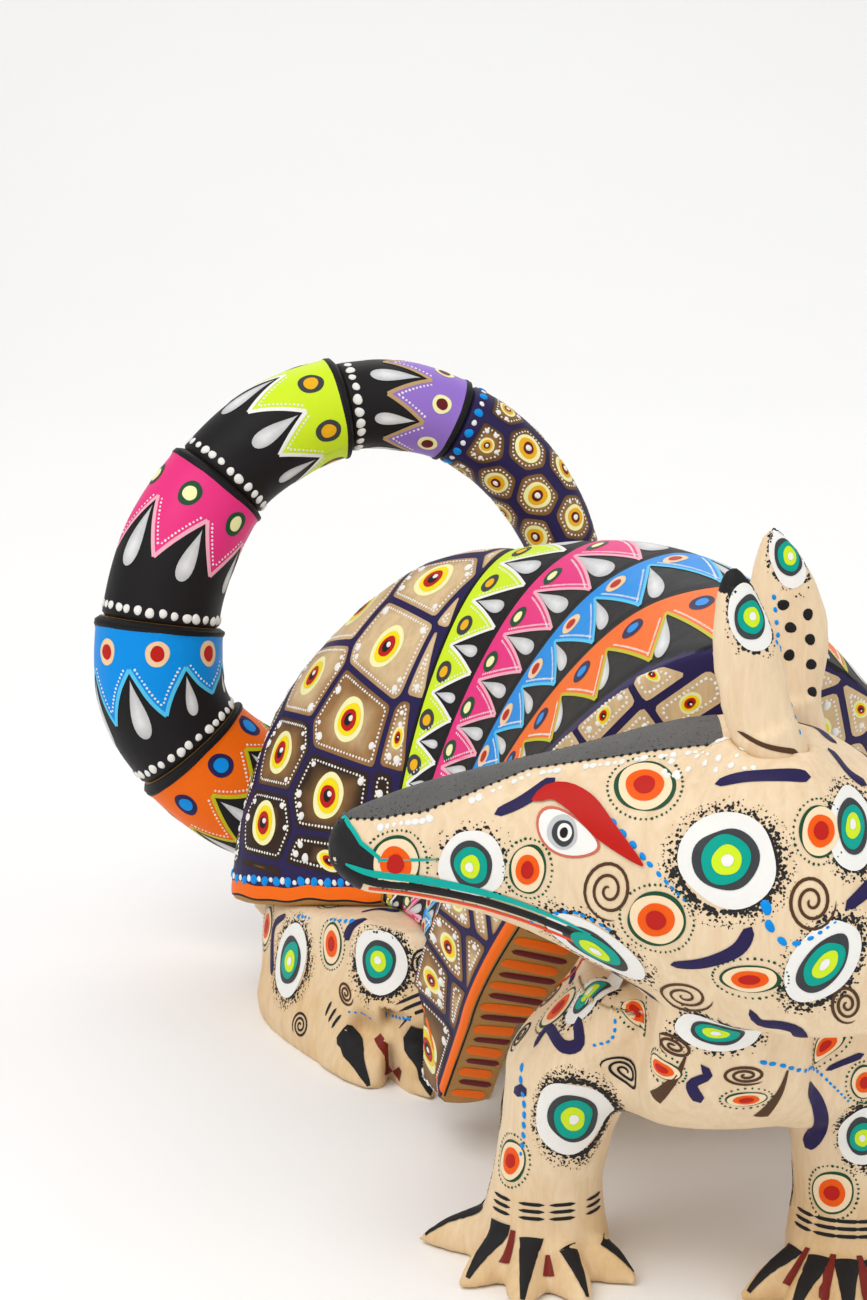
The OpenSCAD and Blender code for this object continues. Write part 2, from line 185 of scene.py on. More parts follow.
def skin_wood(name, light, mid, dark, rough=0.5, fibres=(60.0, 60.0, 12.0), dust=0.25):
    """Painted carving wood: a pale coat over grain, mottled, with brushed-on darker pools. The point attribute
    "shade" moves it from dark to light; on the carved skins and the shell's cells it holds painted shade,
    darker low down.
    """
    material, tree, shader = new_material(name)
    link = tree.links.new
    shader.inputs["Specular IOR Level"].default_value = 0.14
    where = tree.nodes.new("ShaderNodeTexCoord")
    stretch = tree.nodes.new("ShaderNodeMapping")
    stretch.inputs["Scale"].default_value = fibres
    link(where.outputs["Object"], stretch.inputs["Vector"])
    grain = node(tree, "ShaderNodeTexNoise", Scale=7.0, Detail=6.0, Roughness=0.65, Distortion=0.6)
    link(stretch.outputs["Vector"], grain.inputs["Vector"])
    clouds = node(tree, "ShaderNodeTexNoise", Scale=38.0, Detail=3.0, Roughness=0.55)
    link(where.outputs["Object"], clouds.inputs["Vector"])
    tooth = node(tree, "ShaderNodeTexNoise", Scale=1500.0, Detail=2.0)
    link(where.outputs["Object"], tooth.inputs["Vector"])
    # the point attribute "shade": on the carved skins and the shell's cells it is painted shade, darker low
    # down
    shade = tree.nodes.new("ShaderNodeAttribute")
    shade.attribute_name = "shade"
    sums = node(tree, "ShaderNodeMath")
    sums.operation = "MULTIPLY_ADD"
    sums.inputs[1].default_value = 0.5
    link(clouds.outputs["Fac"], sums.inputs[0])
    link(shade.outputs["Fac"], sums.inputs[2])
    ramp = tree.nodes.new("ShaderNodeValToRGB")
    stops = ramp.color_ramp.elements
    stops[0].position = 0.25
    stops[0].color = rgba(dark)
    stops[1].position = 1.2 / 1.5
    stops[1].color = rgba(light)
    middle = stops.new(0.55)
    middle.color = rgba(mid)
    link(sums.outputs[0], ramp.inputs["Fac"])
    veil = tree.nodes.new("ShaderNodeMix")
    veil.data_type = "RGBA"
    veil.blend_type = "MULTIPLY"
    lines = node(tree, "ShaderNodeMapRange", From_Min=0.35, From_Max=0.7, To_Min=0.0, To_Max=dust)
    link(grain.outputs["Fac"], lines.inputs["Value"])
    link(lines.outputs["Result"], veil.inputs["Factor"])
    link(ramp.outputs["Color"], veil.inputs[6])
    veil.inputs[7].default_value = rgba(tuple(0.8 * m for m in mid))
    link(veil.outputs[2], shader.inputs["Base Color"])
    gloss = node(tree, "ShaderNodeMapRange", To_Min=rough - 0.1, To_Max=rough + 0.12)
    link(clouds.outputs["Fac"], gloss.inputs["Value"])
    link(gloss.outputs["Result"], shader.inputs["Roughness"])
    relief = node(tree, "ShaderNodeBump", Strength=0.16, Distance=0.0003)
    link(grain.outputs["Fac"], relief.inputs["Height"])
    fine = node(tree, "ShaderNodeBump", Strength=0.08, Distance=0.0002)
    link(tooth.outputs["Fac"], fine.inputs["Height"])
    link(relief.outputs["Normal"], fine.inputs["Normal"])
    link(fine.outputs["Normal"], shader.inputs["Normal"])
    return material


PAINT = {
    "white": brushed("paint_white", (0.86, 0.85, 0.82), (0.70, 0.70, 0.68), bump=0.2),
    "black": brushed("paint_black", (0.012, 0.011, 0.012), (0.035, 0.033, 0.034), rough=0.5),
    "navy": brushed("paint_navy", (0.022, 0.015, 0.075), (0.05, 0.038, 0.13), rough=0.48),
    "lime": brushed("paint_lime", (0.62, 0.82, 0.02), (0.50, 0.68, 0.03)),
    "pink": brushed("paint_pink", (0.80, 0.035, 0.22), (0.62, 0.03, 0.17)),
    "blue": brushed("paint_blue", (0.0, 0.27, 0.78), (0.0, 0.18, 0.60)),
    "orange": brushed("paint_orange", (0.90, 0.15, 0.002), (0.74, 0.10, 0.002)),
    "violet": brushed("paint_violet", (0.30, 0.17, 0.60), (0.22, 0.12, 0.47)),
    "pale_pink": brushed("paint_pale_pink", (0.88, 0.42, 0.52), (0.74, 0.24, 0.36)),
    "pale_blue": brushed("paint_pale_blue", (0.09, 0.55, 0.86), (0.04, 0.38, 0.68)),
    "olive": brushed("paint_olive", (0.55, 0.50, 0.012), (0.42, 0.35, 0.012)),
    "tan_line": brushed("paint_tan_line", (0.50, 0.33, 0.16), (0.38, 0.22, 0.09)),
    "cream": brushed("paint_cream", (0.90, 0.88, 0.45), (0.80, 0.72, 0.34)),
    "peach": brushed("paint_peach", (0.90, 0.62, 0.36), (0.80, 0.46, 0.24)),
    "yellow": brushed("paint_yellow", (0.92, 0.72, 0.008), (0.80, 0.56, 0.006)),
    "amber": brushed("paint_amber", (0.85, 0.44, 0.01), (0.68, 0.3, 0.01)),
    "red": brushed("paint_red", (0.50, 0.012, 0.008), (0.36, 0.008, 0.008)),
    "scarlet": brushed("paint_scarlet", (0.85, 0.06, 0.01), (0.80, 0.13, 0.01)),
    "maroon": brushed("paint_maroon", (0.13, 0.01, 0.014), (0.2, 0.02, 0.02)),
    "teal": brushed("paint_teal", (0.0, 0.36, 0.28), (0.0, 0.25, 0.2)),
    "aqua": brushed("paint_aqua", (0.0, 0.42, 0.36), (0.0, 0.3, 0.26)),
    "green": brushed("paint_green", (0.012, 0.07, 0.03), (0.02, 0.11, 0.05)),
    "slate": brushed("paint_slate", (0.045, 0.05, 0.055), (0.09, 0.095, 0.10)),
    "silver": brushed("paint_silver", (0.76, 0.77, 0.78), (0.30, 0.30, 0.31), rough=0.4),
    "brown": brushed("paint_brown", (0.085, 0.040, 0.018), (0.16, 0.08, 0.035)),
    "ochre": brushed("paint_ochre", (0.42, 0.22, 0.06), (0.27, 0.12, 0.025), speckle=0.3),
    "soot": brushed("paint_soot", (0.016, 0.015, 0.015), (0.11, 0.105, 0.10), rough=0.6, speckle=0.6),
    "soot_flat": brushed(
        "paint_soot_flat", (0.018, 0.017, 0.018), (0.05, 0.047, 0.045), rough=0.55, speckle=0.25),
    "stone": brushed("paint_stone", (0.15, 0.145, 0.14), (0.04, 0.039, 0.038), rough=0.6, speckle=0.9),
    "peach_pale": brushed("paint_peach_pale", (0.90, 0.72, 0.48), (0.84, 0.60, 0.36)),
    "scarlet_rim": brushed("paint_scarlet_rim", (0.86, 0.10, 0.003), (0.86, 0.17, 0.005)),
    "red_soft": brushed("paint_red_soft", (0.62, 0.16, 0.10), (0.50, 0.10, 0.07)),
    "silver_flat": brushed("paint_silver_flat", (0.55, 0.56, 0.57), (0.42, 0.42, 0.43)),
    "maroon_soft": brushed("paint_maroon_soft", (0.20, 0.022, 0.016), (0.28, 0.05, 0.03)),
    "cell": skin_wood("paint_cell", (0.70, 0.52, 0.30), (0.34, 0.18, 0.065), (0.035, 0.018, 0.010)),
    "skin": skin_wood("paint_skin", (0.84, 0.67, 0.46), (0.72, 0.47, 0.20), (0.30, 0.15, 0.05)),
    "raw": skin_wood("raw_wood", (0.62, 0.40, 0.20), (0.45, 0.26, 0.11), (0.25, 0.13, 0.05), rough=0.62),
}


# ---------------------------------------------------------------- meshes
class Piece:
    """Gathers rings, grids and marks into one mesh with several materials."""

    def __init__(self, name):
        self.name = name
        self.points = []
        self.shades = []
        self.faces = []
        self.looks = []
        self.count = 0

    def add(self, points, faces, look, shade=1.0):
        """Adds a part of the mesh; look names one paint, or one for each face."""
        points = np.asarray(points, float)
        self.points.append(points)
        self.shades.append(np.broadcast_to(np.asarray(shade, float), (len(points),)))
        base = self.count
        self.faces.extend([tuple(base + i for i in f) for f in faces])
        looks = [look] * len(faces) if isinstance(look, str) else look
        self.looks.extend(looks)
        self.count += len(points)
        return base

    def build(self, body, replaces=(), slot=None, smooth_angle=None):
        """Makes the Blender object and ties it to its body."""
        names = sorted(set(self.looks))
        mesh = bpy.data.meshes.new(self.name)
        mesh.from_pydata(to_row(np.vstack(self.points)).tolist(), [], self.faces)
        for n in names:
            mesh.materials.append(PAINT[n])
        index = {n: i for i, n in enumerate(names)}
        mesh.polygons.foreach_set("material_index", [index[n] for n in self.looks])
        shade = mesh.attributes.new("shade", "FLOAT", "POINT")
        shade.data.foreach_set("value", np.concatenate(self.shades).astype(np.float32))
        mesh.update()
        mesh.shade_smooth()
        made = add_object(self.name, mesh)
        if smooth_angle:
            mesh.set_sharp_from_angle(angle=math.radians(smooth_angle))
        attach(made, body)
        if replaces:
            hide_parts(*replaces)
        return made


def grid_faces(rows, cols, wrap=False):
    """Quads of a rows x cols grid of points; wrap joins the last column to the first."""
    faces = []
    for r in range(rows - 1):
        for c in range(cols if wrap else cols - 1):
            d = (c + 1) % cols
            faces.append((r * cols + c, r * cols + d, (r + 1) * cols + d, (r + 1) * cols + c))
    return faces


class Skin:
    """A surface that marks are pressed onto, in design millimetres."""

    def __init__(self, objects):
        points, faces, base = [], [], 0
        for o in objects:
            points.extend(map(Vector, to_design(vertex_rows(o.data))))
            faces.extend([tuple(base + v for v in p.vertices) for p in o.data.polygons])
            base += len(o.data.vertices)
        self.tree = BVHTree.FromPolygons(points, faces)

    def foot(self, point):
        """Nearest point of the skin and its outward normal."""
        near, normal, _, _ = self.tree.find_nearest(Vector(point))
        return np.array(near), np.array(normal)

    def press(self, points, height):
        """The points laid on the skin, height millimetres proud of it (a number, or one per point)."""
        heights = np.broadcast_to(height, (len(points),))
        out = np.empty((len(points), 3))
        for i, (p, h) in enumerate(zip(points, heights)):
            near, normal, _, _ = self.tree.find_nearest(Vector(p))
            out[i] = near + normal * h
        return out

    def shot(self, start, aim):
        """Where the ray from start along aim meets the skin."""
        hit, normal, _, _ = self.tree.ray_cast(Vector(start), Vector(aim))
        return (None, None) if hit is None else (np.array(hit), np.array(normal))


# ---------------------------------------------------------------- the shell's shape
HIP = np.array([15.2, -17.7])  # plan of the spine where the rump meets the bands, at spine length 0
HIP_TURN = math.radians(52.3)  # heading of the spine there
TURN_DECAY = 51.4  # spine length in which the heading falls to 1/e
RUMP = 66.0  # spine length of the rump
BANDS = 4 * 25.0  # of the four bands
SHIELD = 27.0  # of the shoulder shield
FRONT = BANDS + SHIELD
SEAM_Z = 39.5  # height of the shell's lower edge
FLAP_Z = 13.0  # height of the flaps' lower edge
FLAP_T = 12.0  # thickness of a flap
REAR = np.array([-math.sin(HIP_TURN), math.cos(HIP_TURN), 0.0])  # straight back from the rump


def turn_at(s):
    """Heading of the spine in plan, 0 straight ahead."""
    return HIP_TURN * math.exp(-max(s, 0.0) / TURN_DECAY)


SPINE = [HIP]
for step in range(int(FRONT) + 3):
    turn = turn_at(step + 0.5)
    SPINE.append(SPINE[-1] + np.array([math.sin(turn), -math.cos(turn)]))


def spine(s):
    """Plan of the spine: a straight rump, then a curve that straightens out."""
    if s <= 0:
        return HIP - s * REAR[:2]
    i = int(s)
    return lerp(SPINE[i], SPINE[i + 1], s - i)


def lean_at(s):
    """How far the section at s leans forward."""
    if s <= 0:
        return math.radians(max(0.0, 4.3 + 0.2 * s))
    return math.radians(lerp(4.3, 39.5, min(1.0, s / BANDS)) - 5 * shield_t(s))


def seam_at(s):
    """Height of the shell's seam line."""
    return SEAM_Z + min(0.0, 0.185 * s)


def shield_t(s):
    """Share of the shield passed, 0 to 1."""
    return clamp01((s - BANDS) / SHIELD)


def half_w(s):
    """Half width of the shell at its seam."""
    if s <= 0:
        t = -s / RUMP
        return 44.6 * math.sqrt(1 - (-s / 75) ** 3.2) + 8 * t**2 - 11 * t**16
    return 44.6 + 14.1 * (min(s, BANDS) / BANDS) ** 2 - 10 * shield_t(s)


def top_at(s):
    """Height of the ridge."""
    if s <= 0:
        return 126.6 - 12.4 * (-s / 30) ** 1.65 - 10 * (-s / RUMP) ** 24
    m = min(s, BANDS)
    return 126.6 + 0.42 * m - 0.0027 * m * m - 17 * shield_t(s) ** 1.5


def curve_power(s):
    """Squareness of the section: 1 is an ellipse, more is peaked."""
    return 1.1 + 0.14 * clamp01(-s / 50) + 0.05 * clamp01(s / BANDS) + 0.3 * shield_t(s)


def bulge(s):
    """How much wider the outside of the bend is."""
    return 1 + 0.17 * math.sin(math.pi * clamp01(s / FRONT))


def on_section(s, w, h):
    """The point w across and h up the leaning plane of section s."""
    turn, lean = turn_at(s), lean_at(s)
    ahead = np.array([math.sin(turn), -math.cos(turn)])
    side = np.array([-math.cos(turn), -math.sin(turn)])
    xy = spine(s) + side * w + ahead * h * math.sin(lean)
    return np.array([xy[0], xy[1], seam_at(s) + h * math.cos(lean)])


def flap_drop(s):
    """Length of the flap below the seam, along the leaning section."""
    return (SEAM_Z - FLAP_Z) * smooth(0.3 + (s - BANDS - 5) / 8) / math.cos(lean_at(s))


def side_w(s, k):
    """Half width on side k: 1 right, -1 left."""
    return half_w(s) * (bulge(s) if k < 0 else 1.0)


def flap_out(s, k, t):
    """Outer face of the flap at t from the seam (0) to its lowest point (1)."""
    flare = 5 * shield_t(s) * flap_drop(s) / 33
    return on_section(s, k * (side_w(s, k) + flare * t), -flap_drop(s) * t)


def outer_line(s, k, n=90, m=24):
    """From the ridge down to side k's seam and on down the flap."""
    rise = (top_at(s) - seam_at(s)) / math.cos(lean_at(s))
    e = curve_power(s)
    line = []
    for i in range(n + 1):
        a = math.pi / 2 * (1 - i / n)
        line.append(on_section(s, k * side_w(s, k) * math.cos(a) ** e, rise * math.sin(a) ** e))
    drop = flap_drop(s)
    if drop > 0.5:
        line += [flap_out(s, k, j / m) for j in range(1, m + 1)]
    else:
        line += [on_section(s, k * side_w(s, k), -0.5 * j) for j in range(1, m + 1)]
    return np.array(line)


class ShellMap:
    """Points of the shell's outside by spine length s and girth distance d from the ridge.

    d is positive towards the right flank, and runs on past the seam down the shoulder flap.
    """

    reach = 150

    def __init__(self):
        self.s0 = -RUMP
        self.rows = int(FRONT + RUMP) + 1
        self.table = np.empty((self.rows, 2 * self.reach + 1, 3))
        self.seams = np.empty((self.rows, 2))
        for r in range(self.rows):
            s = self.s0 + r
            for col, k in enumerate((1, -1)):
                line = outer_line(s, k)
                steps = np.linalg.norm(np.diff(line, axis=0), axis=1)
                run = np.concatenate([[0], np.cumsum(steps)])
                self.seams[r, col] = run[90]
                want = np.arange(self.reach + 1)
                pts = np.stack([np.interp(want, run, line[:, c]) for c in range(3)], 1)
                over = want > run[-1]
                pts[over] = line[-1] - UP * (want[over] - run[-1])[:, None]
                if k > 0:
                    self.table[r, self.reach:] = pts
                else:
                    self.table[r, : self.reach + 1] = pts[::-1]
        ds = np.gradient(self.table, axis=0)
        dd = np.gradient(self.table, axis=1)
        n = np.cross(dd, ds)
        self.normals = n / np.maximum(np.linalg.norm(n, axis=2, keepdims=True), 1e-9)

    def _look(self, table, s, d):
        x = np.clip(np.asarray(s, float) - self.s0, 0, self.rows - 1.001)
        y = np.clip(np.asarray(d, float) + self.reach, 0, 2 * self.reach - 0.001)
        i, j = x.astype(int), y.astype(int)
        u, v = (x - i)[..., None], (y - j)[..., None]
        top = table[i, j] * (1 - v) + table[i, j + 1] * v
        low = table[i + 1, j] * (1 - v) + table[i + 1, j + 1] * v
        return top * (1 - u) + low * u

    def at(self, s, d):
        """Point of the smooth outside."""
        return self._look(self.table, s, d)

    def normal(self, s, d):
        """Outward normal there."""
        n = self._look(self.normals, s, d)
        return n / np.maximum(np.linalg.norm(n, axis=-1, keepdims=True), 1e-9)

    def locate(self, point):
        """(s, d) of the tabled point nearest to point."""
        gap = ((self.table - np.asarray(point)) ** 2).sum(2)
        i, j = np.unravel_index(gap.argmin(), gap.shape)
        return self.s0 + float(i), float(j - self.reach)

    def beyond(self, s, d, edge, inner):
        """Point at s, run on straight past the spine length edge, with the slope found back at inner."""
        if (s - edge) * (edge - inner) <= 0:
            return self.at(s, d)
        slope = (self.at(edge, d) - self.at(inner, d)) / abs(edge - inner)
        return self.at(edge, d) + slope * abs(s - edge)

    def seam(self, s, k):
        """Girth distance of side k's seam."""
        x = min(max(s - self.s0, 0), self.rows - 1.001)
        i = int(x)
        col = 0 if k > 0 else 1
        return float(lerp(self.seams[i, col], self.seams[i + 1, col], x - i))


shell = ShellMap()
SEAT = on_section(-RUMP, 0, 17)  # where the tail meets the rump
SOCKET = {"r": 7.08, "deep": 23.0}
TENON = {"r": 7.0, "long": 22.0}


# ---------------------------------------------------------------- painted layout of the shell
EDGES = (-1.0, 17.8, 44.6, 70.0, 96.0)  # rear edge of each painted band, then of the shield
EDGE_RISE = (0.5, 2.5, 5.0, 6.0, 8.0)  # how far each edge runs forward over the ridge
RIM = {"lip": 1.9, "line": 2.5, "stripe": 5.9, "beads": 9.0}  # millimetres above the seam


def edge_at(i, d):
    """Spine length of painted edge i at girth distance d."""
    spread = 14.0 if d > 0 else 40.0
    return EDGES[i] + EDGE_RISE[i] * math.exp(-((d / spread) ** 2))


def groove(s, d):
    """The shallow step carved along each painted edge."""
    return sum(-0.4 * math.exp(-(((s - edge_at(i, d)) / 0.9) ** 2)) for i in range(len(EDGES)))


def edge_ease(s, d, r=3.0):
    """How far the shell's outside curls in just above its lower edge."""
    above = shell.seam(s, 1 if d > 0 else -1) - abs(d)
    if s > BANDS + 2 or above > r:
        return 0.0
    return -(r - math.sqrt(max(0.0, r * r - (r - max(above, 0.0)) ** 2)))


def front_normal():
    """Outward normal of the shield's flat front face."""
    lean, turn = lean_at(FRONT), turn_at(FRONT)
    return np.array([math.sin(turn) * math.cos(lean), -math.cos(turn) * math.cos(lean), -math.sin(lean)])


def shell_point(s, d, height=0.0):
    """Point of the carved outside at s and d, height proud of it."""
    n = shell.normal(s, d)
    return shell.at(s, d) + n * (groove(s, d) + edge_ease(s, d) + height)


def section_ring(s, n_arch=150, n_flap=26, n_under=22):
    """Closed ring round the solid shell at s, and each point's (d, kind)."""
    points, tags = [], []
    seam_r, seam_l = shell.seam(s, 1), shell.seam(s, -1)
    drop = flap_drop(s)
    extra = drop * 0.93 if drop > 0.5 else 0.0
    reach = {1: seam_r + extra, -1: seam_l + extra}
    arch_d = np.concatenate([
        np.linspace(reach[1], seam_r, n_flap, endpoint=False),
        np.linspace(seam_r, -seam_l, n_arch),
        np.linspace(-seam_l, -reach[-1], n_flap + 1)[1:],
    ])
    for d in arch_d:
        points.append(shell_point(s, d))
        tags.append(("out", float(d)))
    for k in (-1, 1):
        w = side_w(s, k)
        flare = 5 * shield_t(s) * drop / 33
        side = []
        if drop > 0.5:
            for a in np.linspace(0.25, 1.0, 8):
                c, z = math.cos(math.pi * a), math.sin(math.pi * a)
                mid = w + flare - FLAP_T / 2
                side.append(on_section(s, k * (mid + FLAP_T / 2 * c), -drop * (0.93 + 0.07 * z)))
            for t in np.linspace(0.86, 0.02, 7):
                side.append(on_section(s, k * (w + flare * t - FLAP_T), -drop * t))
        else:
            side = [on_section(s, k * (w - 3.2 - 0.7 * j), 0.02) for j in range(15)]
        points += side[::-1] if k > 0 else side
        tags += [("in", 0.0)] * len(side)
        if k < 0:
            for t in np.linspace(0.0, 1.0, n_under + 2)[1:-1]:
                across_w = lerp(-(side_w(s, -1) - FLAP_T - 2), side_w(s, 1) - FLAP_T - 2, t)
                points.append(on_section(s, across_w, 0.02))
                tags.append(("in", 0.0))
    return np.array(points), tags


def shrunk(ring, by, normal):
    """The flat ring drawn in by that much within its plane."""
    tangent = np.roll(ring, -1, 0) - np.roll(ring, 1, 0)
    inward = np.cross(normal, tangent)
    inward /= np.maximum(np.linalg.norm(inward, axis=1, keepdims=True), 1e-9)
    area = np.cross(ring - ring.mean(0), np.roll(ring, -1, 0) - ring.mean(0)).sum(0)
    if np.dot(area, normal) < 0:
        inward = -inward
    return ring + inward * by


def eased_end(ring, normal, r):
    """Three rings that round the corner between a ring's rim and its end face with radius r."""
    ends = []
    for a in map(math.radians, (30, 60, 90)):
        ends.append(shrunk(ring, r * (1 - math.cos(a)), normal) + normal * (r * math.sin(a) - r))
    return ends


def socket_rings(outer):
    """Mouth, foot and foot centre ring of the tail's socket, matched point by point to the rear ring."""
    side = np.cross(REAR, UP)
    rel = outer - SEAT
    angles = np.arctan2(rel @ UP, rel @ side)
    ring = SEAT + SOCKET["r"] * (np.outer(np.cos(angles), side) + np.outer(np.sin(angles), UP))
    small = SEAT + 0.2 * (ring - SEAT)
    return [ring, ring - REAR * SOCKET["deep"], small - REAR * SOCKET["deep"]]


def make_shell():
    """The shell's skin, its rear face holed for the tail's socket."""
    piece = Piece("shell_skin")
    stations = list(np.arange(-RUMP, FRONT + 0.01, 1.0))
    sections = [section_ring(s) for s in stations]
    body = [ring for ring, _ in sections]
    rear_cap, front_cap = 1.6, 1.1
    rear_n, front_n = np.append(REAR[:2], 0.0), front_normal()
    rear = eased_end(body[0], rear_n, rear_cap)
    front = eased_end(body[-1], front_n, front_cap)
    body[0] = body[0] - rear_n * rear_cap
    body[-1] = body[-1] - front_n * front_cap
    whole = rear[::-1] + body + front
    n, m = len(body[0]), len(whole)
    faces, looks = [], []
    for r in range(m - 1):
        row = min(max(r - len(rear), 0), len(stations) - 1)
        s = stations[row]
        for c in range(n):
            e = (c + 1) % n
            faces.append((r * n + c, (r + 1) * n + c, (r + 1) * n + e, r * n + e))
            kind, d = sections[row][1][c]
            if kind == "in" or r < len(rear) - 1 or r >= m - len(front):
                looks.append("ochre")
                continue
            side = 1 if d > 0 else -1
            above = shell.seam(s, side) - abs(d)
            band = sum(s + 0.5 >= edge_at(i, d) for i in range(len(EDGES)))
            if band == 0:
                looks.append("navy" if above > RIM["line"] + 1.5 else "ochre")
            elif band == len(EDGES):
                looks.append("navy")
            else:
                looks.append("black")
    faces.append(tuple((m - 1) * n + c for c in range(n - 1, -1, -1)))
    looks.append("ochre")
    whole += socket_rings(whole[0])
    for row in (0, m, m + 1):
        after = m if row == 0 else row + 1
        for c in range(n):
            e = (c + 1) % n
            faces.append((row * n + c, row * n + e, after * n + e, after * n + c))
        looks += ["ochre" if row == 0 else "raw"] * n
    faces.append(tuple((m + 2) * n + c for c in range(n)))
    looks.append("raw")
    piece.add(np.vstack(whole), faces, looks)
    return piece.build("figure", replaces=["carapace"], slot="shell_wood", smooth_angle=50)


# ---------------------------------------------------------------- the tail's shape
# the tail curls round an ellipse: half sizes a and b along E1 and E2, centre c
RING = {"a": 60.3, "b": 67.5, "c": np.array([-17.6, 44.0, 86.4])}
E1 = np.array([0.974, 0.225, 0.0])
E2 = np.array([0.0, 0.156, 0.988])
JOIN_T = 186.0  # angle on the ellipse where the curve from the rump joins it
# start and end angle, start and end radius, proud rim, node
CUTS = (
    (240, 204, 17.6, 18.0, 0.5, "tail_orange"),
    (204, 172, 17.1, 18.0, 0.5, "tail_blue"),
    (172, 135, 16.7, 15.2, 0.45, "tail_pink"),
    (135, 98, 14.2, 14.2, 0.4, "tail_lime"),
    (98, 66, 12.6, 12.0, 0.35, "tail_violet"),
    (66, -8, 11.4, 4.5, 0.0, "tail_tip"),
)


def on_ring(t):
    """Point of the tail's ellipse at t degrees."""
    a = math.radians(t)
    return RING["c"] + RING["a"] * math.cos(a) * E1 + RING["b"] * math.sin(a) * E2


def ring_dir(t):
    """Direction of the ellipse towards the tip."""
    a = math.radians(t)
    return unit(RING["a"] * math.sin(a) * E1 - RING["b"] * math.cos(a) * E2)


def tail_p(t):
    """Centre of the tail; t falls from 240 at the rump to the tip."""
    if t <= JOIN_T:
        return on_ring(t)
    q = (240 - t) / (240 - JOIN_T)
    a, b = SEAT, SEAT + 16 * REAR
    c, d = on_ring(JOIN_T) - 20 * ring_dir(JOIN_T), on_ring(JOIN_T)
    return a * (1 - q) ** 3 + b * 3 * q * (1 - q) ** 2 + c * 3 * q * q * (1 - q) + d * q**3


def tail_d(t):
    """Direction of the tail towards its tip."""
    return REAR if t > 239.9 else unit(tail_p(t - 0.05) - tail_p(t + 0.05))


class TailMap:
    """Skin of one tail segment by share g of its length and angle a round it."""

    def __init__(self, cut):
        self.t0, self.t1, self.r0, self.r1, self.rim, self.node = cut
        self.tip = self.node == "tail_tip"
        line = np.array([tail_p(lerp(self.t0, self.t1, i / 60)) for i in range(61)])
        self.length = np.linalg.norm(np.diff(line, axis=0), axis=1).sum()

    def radius(self, g):
        """Radius, with the proud rim at the far end, or the round end of the tip."""
        if self.tip:
            shut = math.sqrt(max(0.0, 1.02 - ((g - 0.9) * 10) ** 2)) if g > 0.9 else 1.0
            return lerp(self.r0, self.r1, g**3) * min(1.0, shut)
        bead = math.exp(-(((g * self.length - self.length + 1.2) / 0.9) ** 4))
        swell = 0.5 * math.sin(math.pi * g) ** 2
        return lerp(self.r0, self.r1, g) + self.rim * bead + swell - 0.35

    def frame(self, g):
        """Centre, direction and two cross axes."""
        t = lerp(self.t0, self.t1, g)
        d = tail_d(t)
        a = unit(np.cross([0.2, -1, 0.1], d))
        return tail_p(t), d, a, np.cross(d, a)

    def at(self, g, angle, height=0.0):
        """Point of the segment, height proud of it."""
        c, _, a, b = self.frame(g)
        out = a * math.cos(angle) + b * math.sin(angle)
        return c + out * (self.radius(g) + height)

    def girth(self, g):
        return 2 * math.pi * self.radius(g)


def make_tail(cut):
    """One carved segment: a closed sleeve with eased ends; base end first."""
    tail = TailMap(cut)
    around, along = 72, max(24, int(tail.length / 0.9))
    rings = []
    ease = 1.0
    angles = np.linspace(0, 2 * math.pi, around, endpoint=False)
    for g in np.linspace(0, 1, along):
        c, _, a, b = tail.frame(g)
        near = min(g, 1 - g) * tail.length
        r = tail.radius(g)
        if near < ease and not (tail.tip and g > 0.5):
            r -= ease - math.sqrt(max(0.0, ease**2 - (ease - near) ** 2))
        rings.append(c + r * (np.outer(np.cos(angles), a) + np.outer(np.sin(angles), b)))
    piece = Piece(tail.node + "_skin")
    faces = grid_faces(along, around, wrap=True)
    looks = ["navy" if tail.tip else "black"] * len(faces)
    points = np.vstack(rings + [tail_p(tail.t0)[None], tail_p(tail.t1)[None]])
    last = (along - 1) * around
    for c in range(around):
        e = (c + 1) % around
        faces.append((e, c, along * around))
        faces.append((last + c, last + e, along * around + 1))
        looks += ["ochre", "navy" if tail.tip else "ochre"]
    piece.add(points, faces, looks)
    return tail, piece


# ---------------------------------------------------------------- carved skins from the frame
# centre, radii of the volumes that round off where legs and chest meet
SHOULDERS = (((42, -192, 55), (10, 11, 15)), ((44, -188, 66), (13, 18, 10)), ((76, -200, 52), (10, 9, 13)),
    ((60, -199, 62), (20, 15, 13)))


def chest_soft(q):
    """How much the joins between chest, legs and throat are smoothed away."""
    x, y, z = q
    return clamp01((z - 38) / 6) * clamp01((88 - z) / 8) * clamp01((x - 8) / 5) * clamp01((-160 - y) / 5)


def ball(centre, radii, n=14):
    """Points and faces of a closed ellipsoid."""
    points = []
    for i in range(1, n):
        a = math.pi * i / n
        for j in range(2 * n):
            b = math.pi * j / n
            points.append((math.sin(a) * math.cos(b), math.sin(a) * math.sin(b), math.cos(a)))
    points += [(0, 0, 1), (0, 0, -1)]
    faces = grid_faces(n - 1, 2 * n, wrap=True)
    last = (n - 2) * 2 * n
    faces += [((j + 1) % (2 * n), j, len(points) - 2) for j in range(2 * n)]
    faces += [(last + j, last + (j + 1) % (2 * n), len(points) - 1) for j in range(2 * n)]
    return np.array(points) * radii + centre, faces


def neighbour_mean(co, pairs, degree):
    """Mean of each point's neighbours; pairs hold every edge in both directions."""
    sums = [np.bincount(pairs[:, 0], weights=co[pairs[:, 1], c], minlength=len(co)) for c in range(3)]
    return np.stack(sums, 1) / degree


